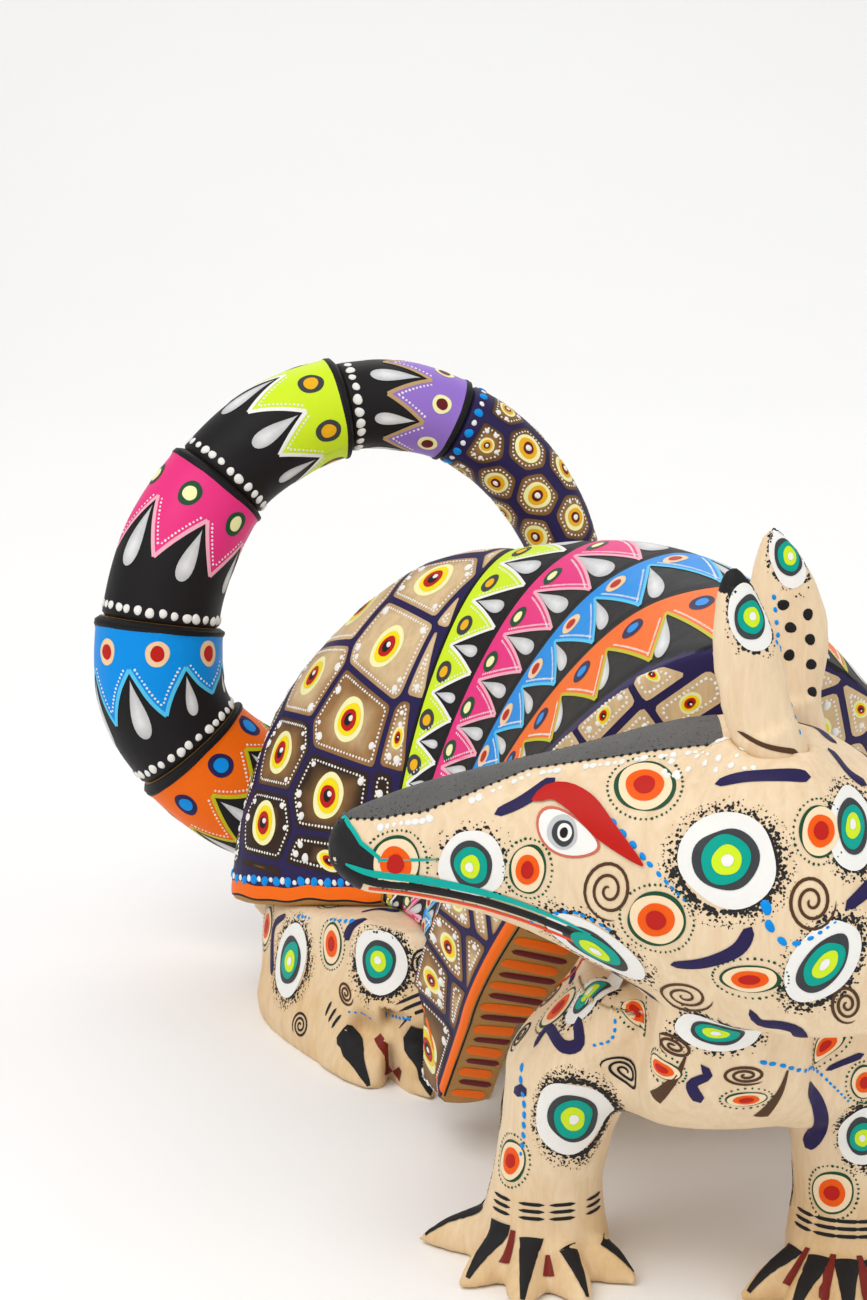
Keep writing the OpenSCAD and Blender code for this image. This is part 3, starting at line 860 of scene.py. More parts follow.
def carved(name, nodes, voxel=1.1, grow=0.25, rounds=24, keep=None, fill=(), soften=None):
    """One smooth skin round copies of frame nodes; keep(point) from 0 to 1 says how firmly a place holds."""
    points, faces, base = [], [], 0
    for n in nodes:
        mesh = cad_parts[n].data
        co = to_design(vertex_rows(mesh))
        rounded, where = np.unique(co.round(4), axis=0, return_inverse=True)
        tris = [[where[v] for v in p.vertices] for p in mesh.polygons]
        tris = np.array([t for t in tris if len(set(t)) == 3])
        normal = np.zeros_like(rounded)
        flat = np.cross(rounded[tris[:, 1]] - rounded[tris[:, 0]], rounded[tris[:, 2]] - rounded[tris[:, 0]])
        for k in range(3):
            np.add.at(normal, tris[:, k], flat)
        normal /= np.maximum(np.linalg.norm(normal, axis=1, keepdims=True), 1e-9)
        points.append(rounded + normal * grow)
        faces += (tris + base).tolist()
        base += len(rounded)
    for centre, radii in fill:
        more, quads = ball(np.array(centre, float), np.array(radii, float))
        points.append(more)
        faces += [tuple(base + v for v in f) for f in quads]
        base += len(more)
    mesh = bpy.data.meshes.new(name + "_rough")
    mesh.from_pydata(np.vstack(points).tolist(), [], faces)
    rough = add_object(name + "_rough", mesh)
    remesh = rough.modifiers.new("remesh", "REMESH")
    remesh.mode = "VOXEL"
    remesh.voxel_size = voxel
    bpy.context.view_layer.update()
    done = rough.evaluated_get(bpy.context.evaluated_depsgraph_get()).data
    co = vertex_rows(done)
    quads = [tuple(p.vertices) for p in done.polygons]
    edges = np.zeros(len(done.edges) * 2, int)
    done.edges.foreach_get("vertices", edges)
    edges = edges.reshape(-1, 2)
    bpy.data.objects.remove(rough)
    firm = np.ones(len(co)) if keep is None else 1 - np.array([keep(p) for p in co])
    both = np.concatenate([edges, edges[:, ::-1]])
    degree = np.bincount(both[:, 0], minlength=len(co))[:, None]
    for r in range(rounds):
        for factor in (0.6, -0.56) if r % 3 else (0.6,):
            co = co + (neighbour_mean(co, both, degree) - co) * factor * firm[:, None]
    if soften:
        loose = np.array([soften(q) for q in co])[:, None]
        for _ in range(30):
            co = co + (neighbour_mean(co, both, degree) - co) * 0.6 * loose
    return co, quads


def toes_hold(p):
    """Toes keep their points; the rest of the body is smoothed."""
    return 0.75 * clamp01((16 - p[2]) / 8)


# ---------------------------------------------------------------- marks
class Painter:
    """Presses painted marks onto one skin and gathers them into one piece."""

    def __init__(self, skin, piece):
        self.skin = skin
        self.piece = piece

    def frame(self, point, hint=UP):
        """Foot of the point on the skin with across and along axes; along leans towards hint."""
        origin, n = self.skin.foot(point)
        along = across(n, np.asarray(hint, float))
        return origin, n, np.cross(along, n), along

    def spot(self, base, x, y):
        """Point x across and y along from a frame."""
        origin, _, a, b = base
        return origin + a * x + b * y

    def dot(self, point, r, look, lift=0.0, tall=0.34, squash=1.0, hint=UP):
        """A raised round dab."""
        origin, n, a, b = self.frame(point, hint)
        count = 8 if r < 0.6 else 12 if r < 1.2 else 18
        turn = rng.random() * 6.28
        rows = [(1.0, -0.03), (0.82, 0.62), (0.45, 0.93)]
        points = []
        for share, up in rows:
            for i in range(count):
                t = turn + 2 * math.pi * i / count
                wob = 1 + 0.07 * math.sin(2 * t + turn * 3) + 0.04 * math.sin(3 * t + turn)
                p = origin + (a * math.cos(t) * squash + b * math.sin(t)) * (r * share * wob)
                points.append(p + n * (lift + up * tall * r))
        points.append(origin + n * (lift + tall * r))
        faces = grid_faces(3, count, wrap=True)
        faces += [(2 * count + i, 2 * count + (i + 1) % count, 3 * count) for i in range(count)]
        shade = rng.uniform(0.65, 1.1)
        self.piece.add(points, faces, look, shade)

    def speck(self, point, r, look, lift=0.05):
        """A flat crumb of paint."""
        origin, n, a, b = self.frame(point)
        count, turn = 6, rng.random() * 6.28
        points = []
        for i in range(count):
            t = turn + 2 * math.pi * i / count
            reach = r * rng.uniform(0.6, 1.25)
            points.append(origin + (a * math.cos(t) + b * math.sin(t)) * reach + n * lift)
        points.append(origin + n * (lift + 0.05))
        faces = [(i, (i + 1) % count, count) for i in range(count)]
        self.piece.add(points, faces, look, rng.uniform(0.5, 1.0))

    def sheet(self, points, rows, cols, look, lift, flip=False, shade=0.55):
        """A grid of places laid on the skin as one coat."""
        points = self.skin.press(points, lift)
        faces = grid_faces(rows, cols)
        self.piece.add(points, faces if flip else [f[::-1] for f in faces], look, shade)

    def patch(self, base, outline, look, lift, shades=(1.0, 0.8), centre=(0.0, 0.0), step=1.7):
        """A filled outline (frame coordinates) that is star shaped from its centre."""
        outline = np.asarray(outline, float)
        centre = np.asarray(centre, float)
        reach = np.linalg.norm(outline - centre, axis=1).max()
        rows = max(1, int(math.ceil(reach / step)))
        n = len(outline)
        flat = [centre + (outline - centre) * (r / rows) for r in range(rows, 0, -1)]
        flat = np.vstack(flat + [centre[None]])
        origin, _, a, b = base
        points = origin + flat[:, :1] * a + flat[:, 1:] * b
        points = self.skin.press(points, lift)
        faces = grid_faces(rows, n, wrap=True)
        last = (rows - 1) * n
        faces += [(last + i, last + (i + 1) % n, rows * n) for i in range(n)]
        shade = np.repeat([lerp(shades[0], shades[1], r / rows) for r in range(rows, 0, -1)], n)
        self.piece.add(points, faces, look, np.append(shade, shades[0]))

    def disc(self, base, x, y, rx, ry, look, lift, turn=0.0, wobble=0.035, shades=(1.0, 0.75)):
        """A filled oval at (x, y) of the frame, its edge a little uneven."""
        count = int(min(44, max(14, 2 * math.pi * max(rx, ry) / 0.6)))
        p1, p2 = rng.random() * 6.28, rng.random() * 6.28
        c, s = math.cos(turn), math.sin(turn)
        outline = []
        for i in range(count):
            t = 2 * math.pi * i / count
            k = 1 + wobble * (math.sin(2 * t + p1) + 0.6 * math.sin(3 * t + p2) + 0.3 * math.sin(5 * t + p1))
            u, v = rx * math.cos(t) * k, ry * math.sin(t) * k
            outline.append((x + u * c - v * s, y + u * s + v * c))
        self.patch(base, outline, look, lift, shades, centre=(x, y))

    def rings(self, base, layers, turn=0.0, squash=1.0, lift=0.1, x=0.0, y=0.0):
        """Concentric painted discs, largest first: (radius, look)."""
        for i, (r, look) in enumerate(layers):
            nudge = 0.0 if i == 0 else 0.05 * r
            dx, dy = rng.uniform(-nudge, nudge), rng.uniform(-nudge, nudge)
            self.disc(base, x + dx, y + dy, r * squash, r, look, lift + 0.075 * i, turn)

    def stroke(self, path, half_widths, look, lift=0.12, dome=0.10, shades=(1.0, 0.8)):
        """A brush line along 3-D points near the skin."""
        path = self.skin.press(path, 0.0)
        tangents = np.gradient(path, axis=0)
        half_widths = np.broadcast_to(half_widths, (len(path),))
        cols = 3 if half_widths.max() < 0.9 else 5 if half_widths.max() < 1.6 else 9
        shares = np.linspace(1, -1, cols)
        rows = []
        for p, t in zip(path, tangents):
            _, n = self.skin.foot(p)
            rows.append(unit(np.cross(n, t)))
        sides = np.array(rows)
        columns = []
        for share in shares:
            rise = lift + dome * (1 - share * share) * np.minimum(1.0, half_widths)
            columns.append(self.skin.press(path + sides * (half_widths * share)[:, None], rise))
        n = len(path)
        faces = grid_faces(cols, n)
        shade = np.repeat([lerp(shades[0], shades[1], abs(share)) for share in shares], n)
        self.piece.add(np.vstack(columns), [f[::-1] for f in faces], look, shade)

    def curve(self, base, path, half_widths, look, lift=0.12, shades=(1.0, 0.8)):
        """A brush line whose path is in frame coordinates."""
        origin, _, a, b = base
        path = np.asarray(path, float)
        self.stroke(origin + path[:, :1] * a + path[:, 1:] * b, half_widths, look, lift, shades=shades)

    def dotted(self, path, r, gap, look, lift=0.0, closed=False, skip=0.0):
        """Small dabs at equal steps along 3-D points."""
        path = np.asarray(path, float)
        if closed:
            path = np.vstack([path, path[:1]])
        run = np.concatenate([[0], np.cumsum(np.linalg.norm(np.diff(path, axis=0), axis=1))])
        count = max(1, int(run[-1] / gap))
        for i in range(count + (0 if closed else 1)):
            want = run[-1] * i / count
            if rng.random() < skip:
                continue
            p = [np.interp(want, run, path[:, c]) for c in range(3)]
            self.dot(p, r * rng.uniform(0.82, 1.15), look, lift)


def turned(u, v, a):
    """The plane point (u, v) turned by angle a."""
    return u * math.cos(a) - v * math.sin(a), u * math.sin(a) + v * math.cos(a)


def far_corners(corners, centre, clear, gap, most):
    """Up to most corners, the farthest from the centre first, clear of it and gap apart."""
    chosen = []
    for q in sorted(corners, key=lambda q: -np.linalg.norm(q - centre)):
        if np.linalg.norm(q - centre) < clear:
            continue
        if all(np.linalg.norm(q - other) > gap for other in chosen):
            chosen.append(q)
        if len(chosen) >= most:
            break
    return chosen


def straight(a, b, step=1.2):
    """Points from a to b."""
    a, b = np.asarray(a, float), np.asarray(b, float)
    n = max(2, int(np.linalg.norm(b - a) / step) + 1)
    return a + (b - a) * np.linspace(0, 1, n)[:, None]


def worm_path(length, swing, waves=1.0, n=18):
    """A wavy line through the origin."""
    t = np.linspace(0, 1, n)
    return np.stack([length * (t - 0.5), swing * np.sin(2 * math.pi * waves * t)], 1)


def blob_widths(n, w, lo=0.45):
    """Widths of a stroke that starts and ends round and swells at one end."""
    t = np.linspace(0, 1, n)
    ends = np.sqrt(np.clip(1 - (2 * t - 1) ** 8, 0, 1))
    return w * ends * (lo + (1 - lo) * t)


# ---------------------------------------------------------------- painting the shell
def tooth_marks(start, pitch, reach_r, reach_l):
    """Girth distances of the notches, closer together low on the flanks."""
    marks = [start]
    while marks[-1] < reach_r:
        marks.append(marks[-1] + pitch * (1 - 0.42 * clamp01((marks[-1] - 48) / 40)))
    low = [start]
    while low[-1] > -reach_l:
        low.append(low[-1] - pitch * (1 - 0.3 * clamp01((-low[-1] - 60) / 50)))
    return low[:0:-1] + marks


# colour, outline, ring, eye, first notch, pitch, slant of the teeth, reach of the notch past the edge,
# length of a dot over its width, width of a teardrop
BAND_LOOKS = (
    ("lime", "white", "slate", "amber", 9.7, 12.9, 0.80, 3.2, 1.15, 0.20),
    ("pink", "pale_pink", "green", "cream", 9.6, 12.9, 0.82, 4.4, 1.45, 0.125),
    ("blue", "pale_blue", "peach", "red", 8.0, 14.0, 0.66, 5.0, 1.85, 0.105),
    ("orange", "olive", "navy", "blue", 13.5, 16.0, 0.50, 8.0, 2.1, 0.11),
)


def paint_band(p, i):
    """Teeth, outline, dots and teardrops of band i."""
    look, line, ring, eye, start, pitch, slant, notch_s, oval, fat = BAND_LOOKS[i]
    mid_s = EDGES[i] + 10
    reach_r, reach_l = shell.seam(mid_s, 1) - 2, shell.seam(mid_s, -1) - 2
    marks = tooth_marks(start, pitch, reach_r, reach_l)
    corners = []
    for a, b in zip(marks, marks[1:]):
        corners.append((a, notch_s))
        tip_d = a + (b - a) * (slant if a > -5 else 1 - slant)
        corners.append((tip_d, edge_at(i + 1, tip_d) - edge_at(i, tip_d) - rng.uniform(0.9, 1.5)))
    corners.append((marks[-1], notch_s))
    corner_d, corner_s = np.array(corners).T
    d_all = np.unique(np.concatenate([np.arange(marks[0], marks[-1], 1.0), corner_d]))
    cols = 14
    points, shades = [], []
    for d in d_all:
        rear = edge_at(i, d) + 0.7
        ahead = edge_at(i, d) + np.interp(d, corner_d, corner_s)
        for c in range(cols):
            points.append(shell_point(lerp(rear, ahead, c / (cols - 1)), d, 0.10))
            shades.append(lerp(0.8, 1.05, c / (cols - 1)))
    p.piece.add(points, [f[::-1] for f in grid_faces(len(d_all), cols)], look, shades)
    zig = [(edge_at(i, d) + s, d) for d, s in corners]
    for k, ((s0, d0), (s1, d1)) in enumerate(zip(zig, zig[1:])):
        steps = max(4, int(math.hypot(s1 - s0, d1 - d0) / 1.4))
        run = [(lerp(s0, s1, j / steps), lerp(d0, d1, j / steps)) for j in range(steps + 1)]
        edge = np.array([shell_point(s, d) for s, d in run])
        scale = clamp01(np.linalg.norm(edge[-1] - edge[0]) / 12)
        p.stroke(edge, 0.24 + 0.20 * scale, line, lift=0.16)
        mid_s, mid_d = (s0 + s1) / 2, (d0 + d1) / 2
        inside = shell_point(mid_s - 1, mid_d + (1.5 if k % 2 == 0 else -1.5)) - shell_point(mid_s, mid_d)
        along = unit(edge[-1] - edge[0])
        inward = unit(inside - along * np.dot(inside, along))
        setback = 0.85 + 0.45 * scale
        ends = slice(1 if k % 2 == 0 else 2, -2 if k % 2 == 0 else -1)
        p.dotted(edge[ends] + inward * setback, 0.25 + 0.06 * scale, 1.2, "white", lift=0.12)
    for a, b in zip(marks, marks[1:]):
        reach = edge_at(i + 1, a) - edge_at(i, a)
        wide = np.linalg.norm(shell_point(edge_at(i, a) + 4, a) - shell_point(edge_at(i, a) + 4, b))
        long = np.linalg.norm(shell_point(edge_at(i, a) + 2, a) - shell_point(edge_at(i, a) + reach, a))
        size = 1.12 * min(1.0, wide / 11.5, long / 14.0) ** 0.8
        d = a + (b - a) * (0.60 if slant > 0.6 else 0.52)
        s = edge_at(i, d) + notch_s * 0.5 + 3.6
        base = p.frame(shell_point(s, d), hint=shell_point(s + 3, d) - shell_point(s, d))
        p.rings(base, [(2.25 * size * oval, ring), (1.2 * size * oval, eye)], squash=1.12 / oval, lift=0.17)
        drop_from = shell_point(edge_at(i, a) + notch_s + 1.6, a + 0.03 * (b - a))
        drop_to = shell_point(edge_at(i, a) + reach - 3.0, a + (0.34 if a > -5 else -0.06) * (b - a))
        teardrop(p, drop_from, drop_to, fat)
    edge = [shell_point(edge_at(i, d), d) for d in np.arange(-reach_l, reach_r, 1.6)]
    p.stroke(edge, 0.42, "black", lift=0.14)


def teardrop(p, sharp, round_end, fat, look="silver"):
    """A brushed drop from its sharp end to its round end."""
    sharp, round_end = np.asarray(sharp), np.asarray(round_end)
    length = np.linalg.norm(round_end - sharp)
    if length < 2.2:
        return
    base = p.frame((sharp + round_end) / 2, hint=round_end - sharp)
    outline, n = [], 26
    for j in range(n):
        t = 2 * math.pi * j / n
        y = -math.cos(t)
        w = math.sin(t) * (0.5 * (1 + y)) ** 0.85
        outline.append((w * length * fat, y * length / 2))
    p.patch(base, outline, look, 0.13, shades=(0.9, 0.35), centre=(0.0, length * 0.2), step=1.1)


def hex_seeds(rows):
    """Cell centres (s, d), row by row.

    A row is s at the ridge, drift of s per girth, first d, pitch, lowest d and highest d.
    """
    seeds = []
    for s0, drift, d0, pitch, low, high in rows:
        d = d0
        while d > low:
            d -= pitch
        while d <= high:
            s = s0 + drift * min(abs(d), 60)
            seeds.append((s + rng.uniform(-1.2, 1.2), d + rng.uniform(-1.0, 1.0)))
            d += pitch
    return seeds


def clip_polygon(poly, point, normal):
    """The part of a polygon on the side of a line that normal points away from."""
    out = []
    for a, b in zip(poly, poly[1:] + poly[:1]):
        da = np.dot(np.subtract(a, point), normal)
        db = np.dot(np.subtract(b, point), normal)
        if da <= 0:
            out.append(a)
        if (da < 0 < db) or (db < 0 < da):
            out.append(tuple(np.add(a, np.subtract(b, a) * (da / (da - db)))))
    return out


def even_outline(poly, step, inset=0.0, corner=1.2):
    """The polygon drawn in by inset, its corners eased, walked in even steps."""
    poly = [np.asarray(q, float) for q in poly]
    centre = np.mean(poly, axis=0)
    if inset:
        lines = []
        for a, b in zip(poly, poly[1:] + poly[:1]):
            t = unit(b - a)
            n = np.array([t[1], -t[0]])
            if np.dot(n, centre - a) > 0:
                n = -n
            lines.append((a - n * inset, n))
        box = [(-60.0, -60.0), (60.0, -60.0), (60.0, 60.0), (-60.0, 60.0)]
        shape = [tuple(np.add(q, centre)) for q in box]
        for a, n in lines:
            shape = clip_polygon(shape, a, n)
            if len(shape) < 3:
                return None
        poly = [np.asarray(q) for q in shape]
    eased = []
    for i, q in enumerate(poly):
        before, after = poly[i - 1], poly[(i + 1) % len(poly)]
        r1 = min(corner, np.linalg.norm(before - q) / 3)
        r2 = min(corner, np.linalg.norm(after - q) / 3)
        eased += [q + unit(before - q) * r1, q * 0.5 + (q + unit(before - q) * r1) * 0.25
                  + (q + unit(after - q) * r2) * 0.25, q + unit(after - q) * r2]
    eased = np.array(eased)
    ring = np.vstack([eased, eased[:1]])
    run = np.concatenate([[0], np.cumsum(np.linalg.norm(np.diff(ring, axis=0), axis=1))])
    n = max(10, int(run[-1] / step))
    want = np.arange(n) * run[-1] / n
    return np.stack([np.interp(want, run, ring[:, 0]), np.interp(want, run, ring[:, 1])], 1)


def paint_cells(p, feet, anchors, limits, gap, tone_and_painted_shade_of, motif, dots_r=0.36):
    """Hexagon cells. feet are 3-D centres, anchors the nearest painted points to them.

    limits(anchor) gives the (point, outward) walls near it.
    """
    feet = [np.asarray(f, float) for f in feet]

    def flattened(base, point):
        gap_v = point - base[0]
        flat = np.array([np.dot(gap_v, base[2]), np.dot(gap_v, base[3])])
        return unit(flat) * np.linalg.norm(gap_v) if np.linalg.norm(flat) > 1e-6 else flat

    for k, foot in enumerate(feet):
        base = p.frame(anchors[k], feet[k - 1] - foot if k else feet[1] - foot)
        origin, _, a, b = base
        own = flattened(base, foot)
        poly = [(-30.0, -30.0), (30.0, -30.0), (30.0, 30.0), (-30.0, 30.0)]
        for j, other in enumerate(feet):
            if j == k or np.linalg.norm(other - origin) > 50:
                continue
            flat = flattened(base, other)
            poly = clip_polygon(poly, (flat + own) / 2, unit(flat - own))
        for wall, out in limits(origin):
            rel = wall - origin
            point = np.array([np.dot(rel, a), np.dot(rel, b)])
            normal = np.array([np.dot(out, a), np.dot(out, b)])
            if np.linalg.norm(normal) > 1e-6 and len(poly) > 2:
                poly = clip_polygon(poly, point, unit(normal))
        if len(poly) < 3:
            continue
        outline = even_outline(poly, 1.1, inset=gap)
        if outline is None or len(outline) < 3:
            continue
        centre = outline.mean(0)
        span = np.linalg.norm(outline - centre, axis=1)
        if span.max() < 2.0:
            continue
        # the cell's tone from its place: painted shade on the shell, darker low down; an even tone on the
        # tail's tip
        shade = tone_and_painted_shade_of(p.spot(base, *centre))
        p.patch(base, outline, "cell", 0.08, shades=(shade + 0.12, shade - 0.28), centre=centre)
        inner = even_outline(poly, 1.1, inset=gap + 1.25, corner=0.8)
        if inner is not None and len(inner) > 5:
            path = origin + inner[:, :1] * a + inner[:, 1:] * b
            p.dotted(path, dots_r, 1.15, "white", lift=0.10, closed=True)
        motif(p, base, centre, outline, span.min(), poly)


def sun_eye(size):
    """Radii and colours of a sun eye, outside first."""
    return [(size, "cream"), (size * 0.74, "yellow"), (size * 0.50, "red"), (size * 0.27, "black")]


def cell_motif(p, base, centre, outline, room, poly):
    """Sun eye with a few white dabs in the corners."""
    size = min(6.1, room - (2.0 if room > 4.5 else 1.2))
    if size > 1.3:
        shift = centre * 0.9 + np.array([rng.uniform(-0.4, 0.4), rng.uniform(-0.4, 0.4)])
        away = outline - centre
        far = away[np.argmax(np.linalg.norm(away, axis=1))]
        slim = np.linalg.norm(far) / max(room, 1.0)
        turn = rng.uniform(-0.3, 0.3) if slim < 1.7 else math.atan2(far[1], far[0]) - math.pi / 2
        stretch = 1.0 if slim < 1.7 else min(1.6, slim * 0.55)
        squash = 0.86 if stretch == 1 else 0.95 / stretch
        layers = [(r * stretch, look) for r, look in sun_eye(size)]
        p.rings(base, layers, squash=squash, turn=turn, x=shift[0], y=shift[1], lift=0.14)
        p.dot(p.spot(base, shift[0] + 0.1 * size, shift[1] + 0.1 * size), 0.13 * size, "white", lift=0.42)
    corners = even_outline(poly, 1.0, inset=3.3, corner=0.3)
    if corners is None:
        return
    clear = size * 0.95 + 1.2 if size > 1.3 else 0.0
    for q in far_corners(corners, centre, clear, gap=2.6, most=7):
        if rng.random() < 0.8:
            p.dot(p.spot(base, *q), 1.1 * rng.uniform(0.6, 1.15), "white", lift=0.1)


def paint_rim(p):
    """Orange stripe and beaded navy band along the rump's lower edge."""
    bands = (
        ("lip", "line", "black", 0.13),
        ("line", "stripe", "orange", 0.15),
        ("stripe", "beads", "navy", 0.10),
    )
    for k in (1, -1):
        run = np.arange(-RUMP + 0.5, edge_at(0, 90) + 0.2, 1.2)
        for low, high, look, lift in bands:
            points, cols = [], 5
            for s in run:
                sway = 0.35 * math.sin(s * 0.21) + 0.25 * math.sin(s * 0.47 + k)
                for c in range(cols):
                    d = shell.seam(s, k) - lerp(RIM[low], RIM[high], c / (cols - 1)) - sway
                    points.append(shell_point(s, k * d, lift))
            faces = grid_faces(len(run), cols)
            p.piece.add(points, faces if k > 0 else [f[::-1] for f in faces], look)
        mid = (RIM["stripe"] + RIM["beads"]) / 2 - 0.2
        s, i = -RUMP + 2.0, 0
        while s < edge_at(0, 90) - 1:
            d = shell.seam(s, k) - mid - rng.uniform(-0.4, 0.4)
            blue = i % 2 == 0
            p.dot(shell_point(s, k * d), rng.uniform(1.15, 1.4) if blue else rng.uniform(0.65, 0.95),
                  "blue" if blue else "white", lift=0.12)
            s += rng.uniform(2.0, 2.5)
            i += 1


def cell_painted_shade(point):
    """Painted shade of the shell's cells: rich brown low on the shell, pale tan on top."""
    return lerp(0.05, 0.72, smooth((point[2] - 48) / 55))


def paint_rump(p):
    """Hexagons over the rump."""
    rows = (
        (4.5, 0.0, 3.8, 19.3, -70, 92),
        (-7.5, -0.25, 13.5, 19.3, -92, 96),
        (-39.0, -0.12, 7.5, 19.5, -90, 92),
        (-62.0, 0.0, 17.0, 19.0, -60, 62),
    )
    seeds = hex_seeds(rows)
    feet = [shell.beyond(s, d, 0.0, -5.0) for s, d in seeds]
    anchors = []
    for s, d in seeds:
        anchors.append(shell.at(min(s, -4.0), np.clip(d, -shell.seam(s, -1) + 11, shell.seam(s, 1) - 11)))

    def limits(origin):
        s, d = shell.locate(origin)
        s = min(s, -2.0)
        k = 1 if d > 0 else -1
        edge = edge_at(0, d)
        low = shell.seam(s, k) - RIM["beads"] - 0.2
        return [
            (shell_point(edge - 0.2, d), unit(shell.at(edge, d) - shell.at(edge - 2, d))),
            (shell_point(s, k * low), unit(shell.at(s, k * low) - shell.at(s, k * (low - 2)))),
            (shell.at(-RUMP + 1.5, d), REAR),
        ]

    paint_cells(p, feet, anchors, limits, 0.85, cell_painted_shade, cell_motif)


def paint_shield(p):
    """Hexagons over the shoulder shield and down its flaps."""
    rows = (
        (101.0, 0.0, 0.5, 18.0, -64, 64),
        (117.0, 0.0, 9.5, 18.0, -60, 60),
        (132.0, 0.0, 0.5, 18.0, -60, 60),
        (106.0, 0.0, 72.0, 17.0, 62, 110),
        (113.0, 0.0, 80.0, 17.0, 68, 150),
        (120.0, 0.0, 72.0, 17.0, 62, 150),
        (106.0, 0.0, 72.0, 17.0, -110, -62),
        (113.0, 0.0, 80.0, 17.0, -150, -68),
        (120.0, 0.0, 72.0, 17.0, -150, -62),
    )

    def lowest(s, k):
        return min(141.0, shell.seam(min(s, FRONT), k) + max(0.0, flap_drop(min(s, FRONT))) * 0.85)

    seeds = [(s, d) for s, d in hex_seeds(rows) if abs(d) < lowest(s, 1 if d > 0 else -1)]
    feet = [shell.beyond(s, d, FRONT, FRONT - 4) for s, d in seeds]
    anchors = [shell.at(np.clip(s, BANDS + 4, FRONT - 4), d) for s, d in seeds]

    def hem_at(s, k):
        return shell.seam(s, k) + max(0.0, flap_drop(s)) * 0.88 - 1.5

    def limits(origin):
        s, d = shell.locate(origin)
        s = min(max(s, BANDS + 4), FRONT - 2)
        k = 1 if d > 0 else -1
        edge = edge_at(4, d)
        low = hem_at(s, k)

        def wall(at, out, one, two):
            """A wall at a place, facing out, squared to the line from one to two."""
            along = unit(two - one)
            return at, unit(out - along * np.dot(out, along))

        return [
            wall(shell_point(edge + 0.6, d), shell.at(edge, d) - shell.at(edge + 2, d),
                 shell.at(edge_at(4, d - 1), d - 1), shell.at(edge_at(4, d + 1), d + 1)),
            wall(shell.at(FRONT - 3.2, d), shell.at(FRONT, d) - shell.at(FRONT - 4, d),
                 shell.at(FRONT - 3, d - 2), shell.at(FRONT - 3, d + 2)),
            wall(shell.at(s, k * low), shell.at(s, k * low) - shell.at(s, k * (low - 3)),
                 shell.at(s - 1.5, k * hem_at(s - 1.5, k)), shell.at(s + 1.5, k * hem_at(s + 1.5, k))),
        ]

    # painted shade: the shield's cells darker low down and paler on top
    def shade(q):
        return lerp(0.30, 0.85, smooth((q[2] - 20) / 90))

    paint_cells(p, feet, anchors, limits, 0.85, shade, cell_motif)
    for k in (1, -1):
        low = shell.seam(FRONT, k) + flap_drop(FRONT) * 0.92
        run = np.arange(20.0, low, 1.5)
        p.stroke([shell_point(FRONT - 1.3, k * d) for d in run], 1.25, "orange", lift=0.13)
        foot = [(s, shell.seam(s, k) + flap_drop(s) * 0.90) for s in np.arange(BANDS + 5, FRONT - 1, 1.5)]
        p.stroke([shell_point(s, k * d) for s, d in foot], 0.9, "orange", lift=0.13)


def paint_front_face(p):
    """Orange and maroon bars across the thickness of the shield's front."""
    face_n = front_normal()
    centre = on_section(FRONT, 0, 45)
    for k in (1, -1):
        low = shell.seam(FRONT, k) + flap_drop(FRONT) * 0.84
        d, i = low, 0
        while d > 46:
            edge = shell.at(FRONT, k * d)
            down = unit(shell.at(FRONT, k * (d + 1)) - shell.at(FRONT, k * (d - 1)))
            inward = unit(np.cross(face_n, down))
            if np.dot(inward, centre - edge) < 0:
                inward = -inward
            orange = i % 2 == 0
            more = 5.5 * smooth((low - 12 - d) / 30)
            start, end = (1.7, 10.2 + more) if orange else (2.6, 10.8 + more)
            tilt = down * rng.uniform(0.4, 1.4)
            path = straight(edge + inward * start - tilt * 0.5, edge + inward * end + tilt * 0.5, 0.8)
            wide = rng.uniform(1.55, 1.8) if orange else rng.uniform(0.95, 1.25)
            widths = blob_widths(len(path), wide, lo=0.85)
            p.stroke(path + face_n * 0.3, widths, "orange" if orange else "maroon", lift=0.12)
            d -= 4.4 if orange else 4.1
            i += 1
        run = np.arange(46.0, low + 4, 1.5)
        line = [shell.at(FRONT, k * d) for d in run]
        inset = []
        for q, d in zip(line, run):
            inward = unit(centre - q)
            inset.append(q + inward * 1.25 + face_n * 0.3)
        p.stroke(inset, 0.22, "black", lift=0.12)


# ---------------------------------------------------------------- painting the tail
# colour, outline, ring, eye, teeth round the segment, colour share of the length
TAIL_LOOKS = {
    "tail_orange": ("orange", "olive", "navy", "blue", 7, 0.50),
    "tail_blue": ("blue", "pale_blue", "peach", "red", 7, 0.46),
    "tail_pink": ("pink", "pale_pink", "green", "cream", 6, 0.46),
    "tail_lime": ("lime", "white", "slate", "amber", 6, 0.46),
    "tail_violet": ("violet", "tan_line", "cream", "maroon", 6, 0.50),
}
TAIL_TURN = {"tail_orange": 0.35, "tail_blue": 0.1, "tail_pink": 0.6, "tail_lime": 0.3, "tail_violet": 0.8}


